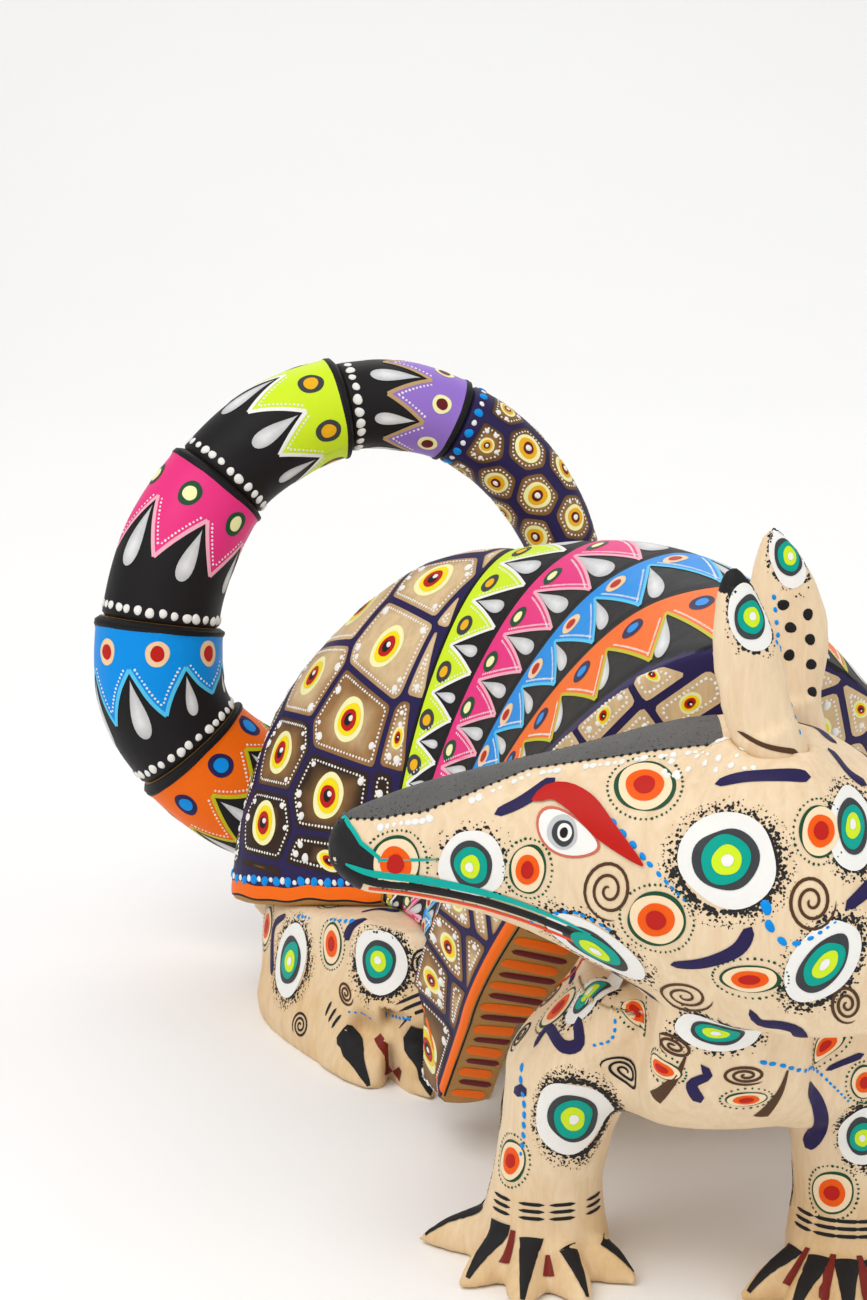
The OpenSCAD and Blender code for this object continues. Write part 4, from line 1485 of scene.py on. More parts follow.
def paint_tail(p, tail):
    """Teeth pointing to the rump, dots, teardrops and rows of white dabs."""
    look, line, ring, eye, teeth, share = TAIL_LOOKS[tail.node]
    turn = TAIL_TURN[tail.node]
    rim_g = 1 - 1.9 / tail.length
    root_g = rim_g - (share - 0.18) * 0.9
    tip_g = rim_g - (share + 0.12)
    if tail.node == "tail_orange":
        root_g, tip_g = rim_g - 0.26, rim_g - 0.62
    pitch = 2 * math.pi / teeth
    corners = []
    for k in range(teeth):
        corners.append((turn + k * pitch, root_g + rng.uniform(-0.01, 0.01)))
        tip_turn = turn + (k + 0.5 + rng.uniform(-0.05, 0.05)) * pitch
        corners.append((tip_turn, tip_g + rng.uniform(-0.015, 0.015)))
    corners.append((turn + 2 * math.pi, corners[0][1]))
    corner_a, corner_g = np.array(corners).T
    a_all = np.unique(np.concatenate([np.linspace(turn, turn + 2 * math.pi, 100), corner_a]))
    cols = 14
    points, shades = [], []
    for a in a_all:
        low = np.interp(a, corner_a, corner_g)
        for c in range(cols):
            points.append(tail.at(lerp(low, rim_g, c / (cols - 1)), a, 0.10))
            shades.append(rng.uniform(0.8, 1.0))
    p.piece.add(points, grid_faces(len(a_all), cols), look, shades)
    for k, ((a0, g0), (a1, g1)) in enumerate(zip(corners, corners[1:])):
        steps = 14
        run = [(lerp(g0, g1, j / steps), lerp(a0, a1, j / steps)) for j in range(steps + 1)]
        edge = np.array([tail.at(g, a) for g, a in run])
        p.stroke(edge, 0.55, line, lift=0.16)
        away = 0.12 if k % 2 == 0 else -0.12
        inside = tail.at((g0 + g1) / 2 + 0.02, (a0 + a1) / 2 + away) - tail.at((g0 + g1) / 2, (a0 + a1) / 2)
        along = unit(edge[-1] - edge[0])
        inward = unit(inside - along * np.dot(inside, along))
        ends = slice(1 if k % 2 == 0 else 3, -3 if k % 2 == 0 else -1)
        p.dotted(edge[ends] + inward * 1.45, 0.34, 1.1, "white", lift=0.12)
    for k in range(teeth):
        mid = turn + (k + 0.5) * pitch
        g = lerp(rim_g, root_g, 0.62)
        size = 3.6 if tail.node != "tail_violet" else 2.9
        base = p.frame(tail.at(g, mid), hint=tail_d(lerp(tail.t0, tail.t1, g)))
        p.rings(base, [(size, ring), (size * 0.60, eye)], squash=0.92, lift=0.17)
        notch = turn + k * pitch
        sharp = tail.at(root_g - 2.6 / tail.length, notch)
        end_g = max(tip_g - 4.0 / tail.length, 5.2 / tail.length)
        teardrop(p, sharp, tail.at(end_g, notch + rng.uniform(-0.04, 0.04)), 0.225)
    if tail.node != "tail_orange":
        row_g = 2.6 / tail.length
        count = int(tail.girth(row_g) / 3.3)
        for k in range(count):
            a = 2 * math.pi * (k + rng.uniform(-0.12, 0.12)) / count
            p.dot(tail.at(row_g + rng.uniform(-0.006, 0.006), a), rng.uniform(1.0, 1.45), "white", lift=0.02)
    run = np.linspace(0, 2 * math.pi, 80)
    p.stroke([tail.at(rim_g, a) for a in run], 0.5, "black", lift=0.15)


def paint_tail_tip(p, tail):
    """Brown hexagons in a navy net, and a ring of blue and white beads at the violet joint."""
    seeds = []
    g, row = 0.105, 0
    while g < 1.02:
        around = 5 if tail.radius(min(g, 0.98)) > 8.4 else 4
        for k in range(around):
            seeds.append((g + rng.uniform(-0.006, 0.006), 2 * math.pi * (k + 0.5 * (row % 2)) / around + 0.5))
        g += 11.2 / tail.length
        row += 1
    feet = [tail.at(min(g, 0.985), a) for g, a in seeds]

    def limits(_):
        c, d, _, _ = tail.frame(4.6 / tail.length)
        return [(c, -d)]

    paint_cells(p, feet, feet, limits, 0.62, lambda q: 0.40, tip_motif, dots_r=0.30)
    row_g = 2.6 / tail.length
    count = 22
    for k in range(count):
        a = 2 * math.pi * k / count
        blue = k % 2 == 0
        p.dot(tail.at(row_g, a), 1.25 if blue else 0.8, "blue" if blue else "white", lift=0.02)


def tip_motif(p, base, centre, _, room, poly):
    """Small maroon eye with white dabs in the corners."""
    size = min(4.3, room - 1.6)
    if size < 1.2:
        return
    layers = [(size, "cream"), (size * 0.72, "amber"), (size * 0.42, "maroon")]
    p.rings(base, layers, squash=0.95, x=centre[0], y=centre[1], lift=0.14)
    p.dot(p.spot(base, *centre), 0.22 * size, "white", lift=0.33)
    corners = even_outline(poly, 1.0, inset=2.6, corner=0.3)
    if corners is None:
        return
    for q in far_corners(corners, centre, size + 0.9, gap=1.9, most=6):
        p.dot(p.spot(base, *q), rng.uniform(0.5, 0.85), "white", lift=0.1)


def add_tenon(piece):
    """The bare round tenon that goes into the rump."""
    side = np.cross(REAR, UP)
    around = 40
    profile = [(0.8, TENON["r"]), (-TENON["long"] + 1.2, TENON["r"]), (-TENON["long"], TENON["r"] - 1.2),
               (-TENON["long"], 0.4)]
    points = []
    for along, r in profile:
        for i in range(around):
            a = 2 * math.pi * i / around
            points.append(SEAT + REAR * along + r * (side * math.cos(a) + UP * math.sin(a)))
    faces = grid_faces(len(profile), around, wrap=True)
    faces.append(tuple((len(profile) - 1) * around + i for i in range(around)))
    piece.add(points, faces, "raw")


# ---------------------------------------------------------------- painting the skin
NOSE_X = -21.0
HEAD_LONG = 82.0
# share of the head from the nose, radius, height of the axis
HEAD_ROWS = (
    (0.0, 2.6, 100.6), (0.04, 6.5, 101.8), (0.1, 7.9, 102.6), (0.18, 9.4, 103.8), (0.28, 11.4, 104.5),
    (0.38, 13.4, 104.6), (0.48, 15.9, 104.2), (0.58, 18.8, 103.3), (0.68, 22.4, 102.0), (0.78, 26.4, 100.4),
    (0.88, 30.4, 98.2), (1.0, 34.0, 95.6), (1.2, 35.0, 92.0),
)
# plan of each front foot: the leg's centre, then the tips of its toes
FRONT_HUBS = (
    ((23.5, -177.0), ((-3, -169), (5.5, -194), (17.5, -205), (32, -204), (43.5, -192))),
    ((88.0, -189.0), ((64.5, -200), (72, -214), (84, -220), (97, -216), (106, -204))),
)
# hind toes in rump terms: tip back, tip out, root back, root out
HIND_TOES = ((-12, 66.5, 12, 52), (-28.5, 62.5, -4, 48), (-39, 54, -14, 44))


def head_axis(x):
    """Radius of the head and its axis point at x."""
    share = (x - NOSE_X) / HEAD_LONG
    rows = np.array(HEAD_ROWS)
    r = np.interp(share, rows[:, 0], rows[:, 1])
    return r, np.array([x, -210 + (61 - x) * 0.08, np.interp(share, rows[:, 0], rows[:, 2])])


def jaw_drop(q):
    """The lower jaw hangs a little below the round of the snout."""
    r, axis = head_axis(q[0])
    if q[0] > 52 or q[1] > -185 or q[2] < 68:
        return q
    low = smooth((axis[2] + 1 - q[2]) / r)
    long = smooth((q[0] - NOSE_X) / 8) * smooth((52 - q[0]) / 26)
    return q - UP * 2.6 * low * long


def far_leaf(q):
    """The far ear bows a little outwards."""
    middle = math.sin(math.pi * clamp01((q[2] - 130) / 42)) if q[2] < 172 else 0.0
    return np.array([q[0] + 2.2 * middle, q[1], q[2]])


def near_leaf(q):
    """The near ear is narrow and keeps its width almost to the tip."""
    rise = smooth((q[2] - 128) / 12)
    centre = 65.5 - 0.326 * (q[2] - 127)
    return np.array([q[0] - 0.22 * (q[0] - centre) * rise * smooth((168 - q[2]) / 14), q[1], q[2]])


def hind_shape(q, k):
    """Carves the instep and the gaps between the toes into the foot of the haunch."""
    rel = q - np.array([HIP[0], HIP[1], 0.0])
    side = np.array([-math.cos(HIP_TURN), -math.sin(HIP_TURN), 0.0]) * k
    back, out = np.dot(rel, REAR), np.dot(rel, side)
    reach = math.hypot(back - 2, out - 44)
    if q[2] > 20 or out < 44 or reach < 12:
        return q
    angle = math.degrees(math.atan2(out - 44, 2 - back))
    fan = smooth((angle - 2) / 8) * smooth((84 - angle) / 16)
    gaps = math.exp(-(((angle - 45) / 5.0) ** 2)) + math.exp(-(((angle - 22) / 3.6) ** 2))
    step = smooth((q[2] - 6.5) / 6) * smooth((20 - q[2]) / 8)
    inward = min(reach - 10, fan * (6.5 * step + 10.0 * gaps * (1 - step)))
    away = (REAR * (back - 2) + side * (out - 44)) / reach
    return q - away * inward


def body_shape(q):
    """Jaw, brow under the near ear and slim shoulder of the painted body."""
    q = jaw_drop(q)
    root, axis = np.array([65.5, -223.5, 127.0]), unit(np.array([-0.31, -0.06, 0.95]))
    off = q - root
    off = off - axis * np.dot(off, axis)
    if q[2] > 100 and off[1] < 2:
        rim = smooth((17 - np.linalg.norm(off - np.array([-1.5, -7.0, 0.0]))) / 12)
        q = q + axis * 5.2 * rim
    if 44 < q[2] < 74 and q[0] < 46 and q[1] > -222:
        t = smooth((q[2] - 46) / 24)
        left = lerp(15.0, 31.0, t)
        q = np.array([46 - (46 - q[0]) * (46 - left) / 31.0, q[1], q[2]])
    return q


def on_front(p, x, z):
    """Place on the skin straight behind a point of the front view, or the nearest one beside it."""
    hit = p.skin.shot((x, -400, z), (0, 1, 0))[0]
    return p.skin.foot((x, -222, z))[0] if hit is None else hit


def front_row(p, places):
    """Places on the skin behind points (x, z) of the front view."""
    return [on_front(p, x, z) for x, z in places]


def on_head(p, x, angle):
    """Place on the head at x; angle in degrees from the top, positive on the near side."""
    _, axis = head_axis(x)
    a = math.radians(angle)
    out = np.array([0.0, -math.sin(a), math.cos(a)])
    hit = p.skin.shot(axis + out * 90, -out)[0]
    return p.skin.foot(axis)[0] if hit is None else hit


def on_top(p, x, y):
    """Place on a foot straight below a point of the plan."""
    return p.skin.shot((x, y, 26), (0, 0, -1))[0]


def rump_point(back, out, z, k=1):
    """Design point by distance back and out from the hip on side k, and height."""
    side = np.array([-math.cos(HIP_TURN), -math.sin(HIP_TURN), 0.0])
    return np.array([HIP[0], HIP[1], z]) + REAR * back + side * out * k


def through(points, step=1.3):
    """A soft curve through points, in even steps."""
    points = np.asarray(points, float)
    ends = np.vstack([2 * points[0] - points[1], points, 2 * points[-1] - points[-2]])
    out = []
    for i in range(1, len(ends) - 2):
        a, b, c, d = ends[i - 1 : i + 3]
        n = max(2, int(np.linalg.norm(c - b) / step))
        for j in range(n):
            t = j / n
            out.append(0.5 * (2 * b + (c - a) * t + (2 * a - 5 * b + 4 * c - d) * t * t
                              + (3 * b - 3 * c + d - a) * t**3))
    return np.array(out + [points[-1]])


def eye_mark(p, where, long, wide, turn, halo=0.0):
    """White, dark, teal, lime and a glint, with sponged black round it."""
    base = p.frame(where)
    a = math.radians(turn)
    for _ in range(int(halo * 38 * (long + wide) / 2)):
        t = rng.uniform(0, 2 * math.pi)
        out = 0.98 + 0.44 * rng.random() ** 2.0
        u, v = long * out * math.cos(t), wide * out * math.sin(t) - 0.3 * halo
        at = p.spot(base, *turned(u, v, a))
        p.speck(at, rng.uniform(0.10, 0.42) * (1.5 - 1.1 * (out - 0.98) / 0.44), "soot_flat", 0.05)
    layers = ((1.0, "white"), (0.66, "slate"), (0.51, "teal"), (0.31, "lime"), (0.13, "white"))
    x, y = 0.0, 0.0
    for i, (share, look) in enumerate(layers):
        p.disc(base, x, y, long * share, wide * share, look, 0.12 + 0.085 * i, a, wobble=0.045)
        x += rng.uniform(-0.03, 0.03) * long
        y += rng.uniform(-0.03, 0.03) * long


def sun_mark(p, where, long, wide, turn):
    """Orange and red dot on cream, inside a green line and a ring of green beads."""
    base = p.frame(where)
    a = math.radians(turn)
    layers = ((1.62, "green"), (1.45, "peach_pale"), (1.0, "scarlet_rim"), (0.56, "red"))
    for i, (share, look) in enumerate(layers):
        p.disc(base, 0, 0, long * share, wide * share, look, 0.11 + 0.08 * i, a, wobble=0.03)
    around = math.pi * (long + wide) * 1.95
    count = int(around / 1.05)
    for i in range(count):
        t = 2 * math.pi * i / count
        u, v = 1.98 * long * math.cos(t), (1.62 * wide + 0.36 * long) * math.sin(t)
        at = p.spot(base, *turned(u, v, a))
        p.speck(at, rng.uniform(0.26, 0.36), "green", 0.1)


def spiral_mark(p, where, long, wide, turn, look="brown", turns=2.6, start=0.0):
    """A brush spiral winding out from its middle."""
    base = p.frame(where)
    a = math.radians(turn)
    path = []
    n = int(turns * 22)
    for i in range(n + 1):
        t = start + 2 * math.pi * turns * i / n
        r = 0.08 + 0.92 * i / n
        path.append(turned(long * r * math.cos(t), wide * r * math.sin(t), a))
    p.curve(base, path, blob_widths(len(path), 0.36, lo=0.8), look)


def worm_mark(p, places, half, look="navy", lo=0.6):
    """A fat brush stroke with round ends."""
    path = through(places, step=1.0)
    p.stroke(path, blob_widths(len(path), half, lo=lo) + 0.05, look, lift=0.14)


def bead_run(p, places, r0, r1, look="blue", gap=1.25):
    """Dabs shrinking along a curve."""
    path = through(places, step=0.5)
    run = np.concatenate([[0], np.cumsum(np.linalg.norm(np.diff(path, axis=0), axis=1))])
    at = 0.0
    while at < run[-1]:
        r = lerp(r0, r1, at / run[-1])
        i = int(np.searchsorted(run, at))
        i = min(max(i, 1), len(path) - 1)
        p.dot(path[i], r, look, lift=0.05, tall=0.25, squash=0.7, hint=path[i] - path[i - 1])
        at += r * 2 * gap + 0.35


# marks of the front by place (x, z), half length, half width and turn
# eyes, with the strength of their sponged halo
FACE_EYES = (
    (7.5, 101.5, 8.0, 6.6, 75, 0.5), (56, 109, 9.8, 9.2, 5, 2.6), (32, 86, 11.0, 7.0, 142, 1.0),
    (74, 90.5, 10.2, 5.9, 56, 1.5), (56, 70, 8.6, 5.0, 178, 0.8), (80, 115, 9.0, 5.5, 57, 1.5),
    (29, 40, 10.5, 8.2, 93, 3.6), (89, 37.5, 7.0, 5.0, 100, 2.4),
)
FACE_SUNS = (
    (-7.5, 100.5, 3.9, 3.2, 75), (18.5, 102, 3.3, 2.4, 78), (41, 120, 4.0, 3.5, 160), (43, 95.5, 4.2, 3.4, 30),
    (73.5, 115, 3.3, 2.6, 70), (60.5, 86, 4.0, 1.9, 12), (41, 67.5, 3.0, 1.5, 128), (45.5, 60.5, 3.0, 1.5, 165),
    (79.5, 60.5, 3.2, 1.5, 32), (62.5, 54, 2.7, 1.3, 3), (16.5, 27, 3.4, 2.4, 60), (83.5, 24, 3.2, 2.9, 60),
    (88.5, 51, 2.8, 1.9, 110),
)
FACE_SPIRALS = (
    (34, 100, 7.0, 5.5, 70), (71.5, 102.5, 5.9, 4.8, 88), (49, 78.5, 8.0, 4.4, 24), (39.5, 53, 6.0, 3.4, 150),
    (47.5, 66, 4.6, 2.4, 160), (62, 60, 4.8, 2.5, 177), (79, 81.5, 5.0, 3.2, 107),
)
# worms: places (x, z), half width
FACE_WORMS = (
    (((12, 112), (17, 114.5), (21, 117), (24, 119)), 1.6),
    (((54, 122), (59, 124), (66, 124.6), (72, 124)), 1.5),
    (((46, 86), (52, 88), (58, 92), (60.5, 97)), 1.45),
    (((61, 79), (63, 76), (67, 76), (70, 75), (71.5, 72.5)), 1.6),
    (((21, 54), (24, 58), (27, 57), (30, 59), (30, 63)), 1.6),
    (((53, 62.5), (54.5, 60), (51.5, 57.5), (53.5, 53)), 1.4),
    (((76, 54.5), (78.5, 48), (80, 40), (78, 33)), 2.0),
    (((17, 43), (19.5, 45.5)), 1.5),
    (((80, 55), (84, 56.5), (88, 58)), 0.9),
    (((78, 101), (84, 105)), 1.6),
    (((77, 126), (80, 123), (84, 120)), 1.5),
)
# runs of beads: places (x, z), first and last radius
FACE_BEADS = (
    (((32, 115), (37.5, 110.5), (42, 106), (48, 100.5)), 1.35, 0.4),
    (((63, 101.5), (64, 97), (67, 94.3), (71, 95.3), (76, 98.5)), 1.5, 0.4),
    (((19, 89.5), (23, 92.5), (27, 94), (31, 93), (35, 91)), 0.7, 0.6),
    (((18.6, 50), (19, 42), (19, 35), (18.4, 28)), 1.0, 0.75),
    (((37, 67), (37, 63), (36, 60.5), (33, 59)), 0.6, 0.5),
    (((65, 63), (71, 61), (77, 56.5), (81.5, 51.5), (86, 46)), 0.8, 0.4),
)
# worms that the jaw hides from the front: places (x, y, z), half width
UNDER_JAW_WORMS = (
    (((29.7, -173.3, 64.6), (29.5, -178, 66), (29.1, -182.7, 64.7)), 1.3),
    (((34.8, -217.6, 80), (40.2, -217.4, 76.6), (44.8, -220.7, 74.2)), 0.6),
)


def paint_face(p):
    """Everything that shows on the head, chest and front legs from the front."""
    taken = []
    for x, z, long, wide, turn, halo in FACE_EYES:
        where = on_front(p, x, z)
        eye_mark(p, where, long, wide, turn, halo)
        taken.append((where, long))
    for x, z, long, wide, turn in FACE_SUNS:
        where = on_front(p, x, z)
        sun_mark(p, where, long, wide, turn)
        taken.append((where, long * 2))
    for i, (x, z, long, wide, turn) in enumerate(FACE_SPIRALS):
        where = on_front(p, x, z)
        spiral_mark(p, where, long, wide, turn, look="soot" if i == 3 else "brown", start=i)
        taken.append((where, long))
    for places, half in FACE_WORMS:
        worm_mark(p, front_row(p, places), half)
        taken.append((on_front(p, *places[len(places) // 2]), 4.0))
    for places, r0, r1 in FACE_BEADS:
        bead_run(p, front_row(p, places), r0, r1)
    shoulder_eye, shoulder_sun = p.skin.foot((32.6, -196.5, 67.6))[0], p.skin.foot((26.4, -187.8, 61.2))[0]
    eye_mark(p, shoulder_eye, 9.0, 4.6, 72, 0.8)
    sun_mark(p, shoulder_sun, 3.6, 2.6, 80)
    for places, half in UNDER_JAW_WORMS:
        worm_mark(p, [p.skin.foot(q)[0] for q in places], half)
    return taken + [(shoulder_eye, 8.0), (shoulder_sun, 6.0)]


def paint_eye(p):
    """The painted eye: white ball with a dark swirl under a red lid that runs to a point."""
    where = on_front(p, 26.3, 110.0)
    base = p.frame(where)

    def almond(long, high):
        out = []
        for i in range(30):
            t = 2 * math.pi * i / 30
            u = math.cos(t)
            v = math.sin(t) * (1 - 0.35 * u)
            out.append((long * u - 0.18 * high * v, high * v - 0.20 * long * u - 0.2))
        return out

    p.patch(base, almond(6.9, 4.6), "red_soft", 0.12)
    p.patch(base, almond(6.3, 4.0), "white", 0.20)
    p.disc(base, -1.2, 0.2, 3.2, 3.4, "silver_flat", 0.28)
    p.disc(base, -1.0, 0.0, 2.3, 2.6, "slate", 0.36)
    p.disc(base, -0.7, 0.2, 1.5, 1.8, "white", 0.44)
    p.disc(base, -0.8, 0.1, 0.85, 1.05, "black", 0.52)
    lid = through(front_row(p, ((19.5, 115), (24, 117), (29, 115.5), (34, 111), (40.5, 106))))
    t = np.linspace(0, 1, len(lid))
    p.stroke(lid, 0.25 + 2.4 * np.sin(math.pi * np.clip(t, 0, 1) ** 0.75) ** 0.8, "red", lift=0.5)


def paint_snout(p):
    """Grey back of the snout, black nose, teal lips and the row of white dots."""
    edge = (
        (-19, 14), (-15, 34), (-11, 44), (-2, 48), (5, 38), (12, 27), (19, 17), (27, 18), (35, 20),
        (48, 21), (57, 20),
    )
    xs, angles = np.array(edge).T
    run = np.arange(-19.0, 57.0, 1.4)
    near = np.interp(run, xs, angles)
    cols = 17
    points = [on_head(p, x, lerp(-a - 1, a, c / (cols - 1))) for x, a in zip(run, near) for c in range(cols)]
    p.sheet(points, len(run), cols, "stone", 0.12)
    for side in (1, -1):
        line = [on_head(p, x, side * a) for x, a in zip(run, near)]
        p.dotted(line, 0.42, 1.7, "black", lift=0.14)
        for x, a in zip(run[3:], near[3:]):
            q = on_head(p, x, side * (a + math.degrees(1.9 / head_axis(x)[0])))
            if rng.random() < 0.62:
                p.dot(q, rng.uniform(0.45, 0.9), "white", lift=0.05)
    for _ in range(46):
        x = rng.uniform(44, 62)
        angle = rng.choice((1, -1)) * rng.uniform(23, 38)
        p.dot(on_head(p, x, angle), rng.uniform(0.4, 0.85), "white", lift=0.05)
    paint_nose(p)

    def along_head(side, places):
        return through([on_head(p, x, side * a) for x, a in places])

    for side in (1, -1):
        mouth = along_head(side, ((-11, 103), (-7, 104), (-3, 103), (1, 101)))
        p.stroke(mouth, np.linspace(0.7, 0.12, len(mouth)), "aqua", lift=0.24)
        lip = along_head(side, ((-17.5, 112), (-12, 124), (-4, 127), (8, 128), (20, 128), (31, 128)))
        share = np.linspace(0, 1, len(lip))
        p.stroke(lip, 0.25 + 0.75 * np.sin(math.pi * share**0.6), "aqua", lift=0.26)
        under = along_head(side, ((-18, 120), (-12, 137), (-4, 139), (8, 138), (20, 136), (30, 134)))
        p.stroke(under, 1.15, "black", lift=0.17)
        red = along_head(side, ((-13, 149), (-4, 150), (8, 148), (20, 144), (31, 140)))
        p.stroke(red, 0.5, "scarlet", lift=0.2)


def paint_nose(p):
    """Black nose pad round the end of the snout, with an aqua line along its rear edge."""
    border = ((0, -18.6), (40, -17.0), (75, -14.6), (100, -11.0), (118, -10.6), (140, -14.0), (180, -15.5))
    border_turn, border_x = np.array(border).T
    turns = np.linspace(-180, 180, 49)
    rows = 7
    points = []
    for turn in turns:
        back = np.interp(abs(turn), border_turn, border_x)
        points += [on_head(p, lerp(-20.6, back, r / (rows - 1)), turn) for r in range(rows)]
    p.sheet(points, len(turns), rows, "black", 0.15, flip=True)
    front_of_nose = (*p.skin.foot((-30.0, -203.4, 100.6)), np.array([0.0, 1.0, 0.0]), UP)
    p.disc(front_of_nose, 0, 0, 3.4, 3.4, "black", 0.17)
    for side in (1, -1):
        rim = []
        for turn in np.arange(5, 104, 5):
            rim.append(on_head(p, np.interp(turn, border_turn, border_x) + 0.2, side * turn))
        p.stroke(rim, 0.45, "aqua", lift=0.24)


def paint_front_toes(p):
    """Black wedges along each toe, maroon between them, three dashes above."""
    for hub, tips in FRONT_HUBS:
        hub = np.array(hub)
        for tip in tips:
            tip = np.array(tip, float)
            d = (tip - hub) / np.linalg.norm(tip - hub)
            side = np.array([-d[1], d[0]])
            far = np.linalg.norm(tip - hub)
            path, widths = [], []
            for t in np.linspace(0.0, 1.0, 16):
                place = hub + d * lerp(13.0, far - 1.6, t) + side * lerp(0.2, 0.8, t)
                path.append(on_top(p, *place))
                widths.append(lerp(3.0, 0.5, t))
            keep = [j for j, q in enumerate(path) if q is not None and q[2] < 12.5]
            p.stroke([path[j] for j in keep], [widths[j] for j in keep], "soot_flat", lift=0.16)
            for j in range(3):
                z = 14.6 + 1.6 * j
                middle = np.array([*hub, z])
                dash = []
                for across_by in np.linspace(-2.8, 2.8, 6):
                    out = np.array([*(d * 40 + side * across_by), 0.0])
                    aim = np.array([*(-d), 0.0])
                    q = p.skin.shot(middle + out, aim)[0]
                    if q is not None:
                        dash.append(q)
                if len(dash) > 2:
                    p.stroke(dash, blob_widths(len(dash), 0.36, lo=0.8) + 0.08, "soot_flat", lift=0.12)
        for a, b in zip(tips, tips[1:]):
            d = unit(unit(np.array(a) - hub) + unit(np.array(b) - hub))
            path = [on_top(p, *(hub + d * r)) for r in np.linspace(12.0, 25.0, 12)]
            path = [q for q in path if q is not None and 0.8 < q[2] < 13.5]
            if len(path) > 3:
                p.stroke(path, np.linspace(0.6, 1.9, len(path)), "maroon_soft", lift=0.16)


def paint_hind_toes(p, k):
    """Broad black wedges, maroon bars between and dashes above, on one hind foot."""
    hub = rump_point(2, 44, 0, k)

    def on_foot(place):
        flat = place - hub
        slope = unit(unit(np.array([flat[0], flat[1], 0.0])) + UP)
        hit = p.skin.shot(place + slope * 25, -slope)[0]
        return p.skin.foot(place)[0] if hit is None else hit

    def run(ends, t0, t1, n):
        back, out, back0, out0 = ends
        tip, root = rump_point(back, out, 1.0, k), rump_point(back0, out0, 15.0, k)
        side = unit(np.cross(UP, tip - root))
        return [lerp(root, tip, t) for t in np.linspace(t0, t1, n)], side

    for ends in HIND_TOES:
        places, side = run(ends, 0.46, 0.98, 14)
        share = np.linspace(0, 1, len(places))
        p.stroke([on_foot(q) for q in places], lerp(4.2, 0.5, share**1.15) * np.minimum(1.0, 0.6 + 4 * share),
                 "soot_flat", lift=0.2)
        for q in run(ends, 0.23, 0.36, 3)[0]:
            dash = [on_foot(q + side * v) for v in np.linspace(-2.6, 2.6, 6)]
            p.stroke(dash, blob_widths(len(dash), 0.40, lo=0.8) + 0.08, "soot_flat", lift=0.14)
    for one, two in zip(HIND_TOES, HIND_TOES[1:]):
        places, side = run([(a + b) / 2 for a, b in zip(one, two)], 0.46, 0.84, 9)
        p.stroke([on_foot(q) for q in places], np.linspace(1.2, 1.9, len(places)), "maroon_soft", lift=0.2)


def paint_hind_leg(p, k):
    """Motifs on one hind leg and haunch, by distance back and height."""

    def near(back, z):
        start = rump_point(back, 120, z, k)
        hit = p.skin.shot(start, unit(rump_point(back, 0, z, k) - start))[0]
        return p.skin.foot(rump_point(back, 55, z, k))[0] if hit is None else hit

    taken = []
    for back, z, long, wide, turn, halo in ((29.0, 21, 9.6, 8.6, 80, 2.2), (-8.5, 31, 9.0, 8.2, 20, 2.2)):
        where = near(back, z)
        eye_mark(p, where, long, wide, turn, halo)
        taken.append((where, long))
    for back, z, long, wide, turn in ((10.5, 30.5, 3.4, 2.8, 90), (46, 24, 3.4, 2.6, 80)):
        where = near(back, z)
        sun_mark(p, where, long, wide, turn)
        taken.append((where, long * 2))
    spirals = ((19, 7.5, 4.2, 3.6, 14, "soot_flat"), (2, 20.5, 3.8, 2.4, 150, "brown"),
               (-21.5, 33, 3.9, 3.7, 60, "soot_flat"))
    for back, z, long, wide, turn, look in spirals:
        where = near(back, z)
        spiral_mark(p, where, long, wide, turn, look=look)
        taken.append((where, long))
    worm_mark(p, [near(*q) for q in ((-1.5, 39.5), (2.5, 37.5), (5.0, 33.0))], 1.5)
    worm_mark(p, [near(*q) for q in ((41.5, 34), (41, 25), (38.0, 14))], 1.3)
    bead_run(p, [near(*q) for q in ((3, 38.2), (8, 38.5), (13, 36))], 1.0, 0.5)
    bead_run(p, [near(*q) for q in ((-20, 19), (-12, 17), (0, 16.5))], 0.8, 0.4)
    bead_run(p, [near(*q) for q in ((33, 35.5), (29, 36.5), (25, 36))], 0.8, 0.5)
    return taken


def scatter(p, low, high, plan, taken, done, tries=400):
    """Fills the skin that does not face the direction done with the same families of marks."""
    for kind, size, many in plan:
        made = 0
        for _ in range(tries):
            if made >= many:
                break
            guess = np.array([rng.uniform(a, b) for a, b in zip(low, high)])
            where, n = p.skin.foot(guess)
            inside = all(a - 4 <= v <= b + 4 for v, a, b in zip(where, low, high)) and np.dot(n, done) < 0.0
            r = size * (2.0 if kind == "sun" else 1.1)
            crowded = any(np.linalg.norm(where - t) < r + tr + 1.2 for t, tr in taken)
            if not inside or where[2] < 15 or crowded:
                continue
            turn = rng.uniform(0, 180)
            if kind == "eye":
                eye_mark(p, where, size * rng.uniform(0.9, 1.1), size * rng.uniform(0.65, 0.9), turn, 1.6)
            elif kind == "sun":
                sun_mark(p, where, size, size * rng.uniform(0.6, 0.9), turn)
            elif kind == "spiral":
                wide = size * rng.uniform(0.65, 0.95)
                spiral_mark(p, where, size, wide, turn, look=rng.choice(("brown", "soot")))
            else:
                base = p.frame(where, hint=np.array([rng.uniform(-1, 1) for _ in range(3)]))
                line = worm_path(size * 2, size * 0.3, 0.8)
                spots = [p.spot(base, x, y) for x, y in line]
                if kind == "worm":
                    p.stroke(spots, blob_widths(len(spots), 1.25, lo=0.6) + 0.05, "navy", lift=0.14)
                else:
                    bead_run(p, spots[::4], 1.1, 0.4)
            taken.append((where, r))
            made += 1


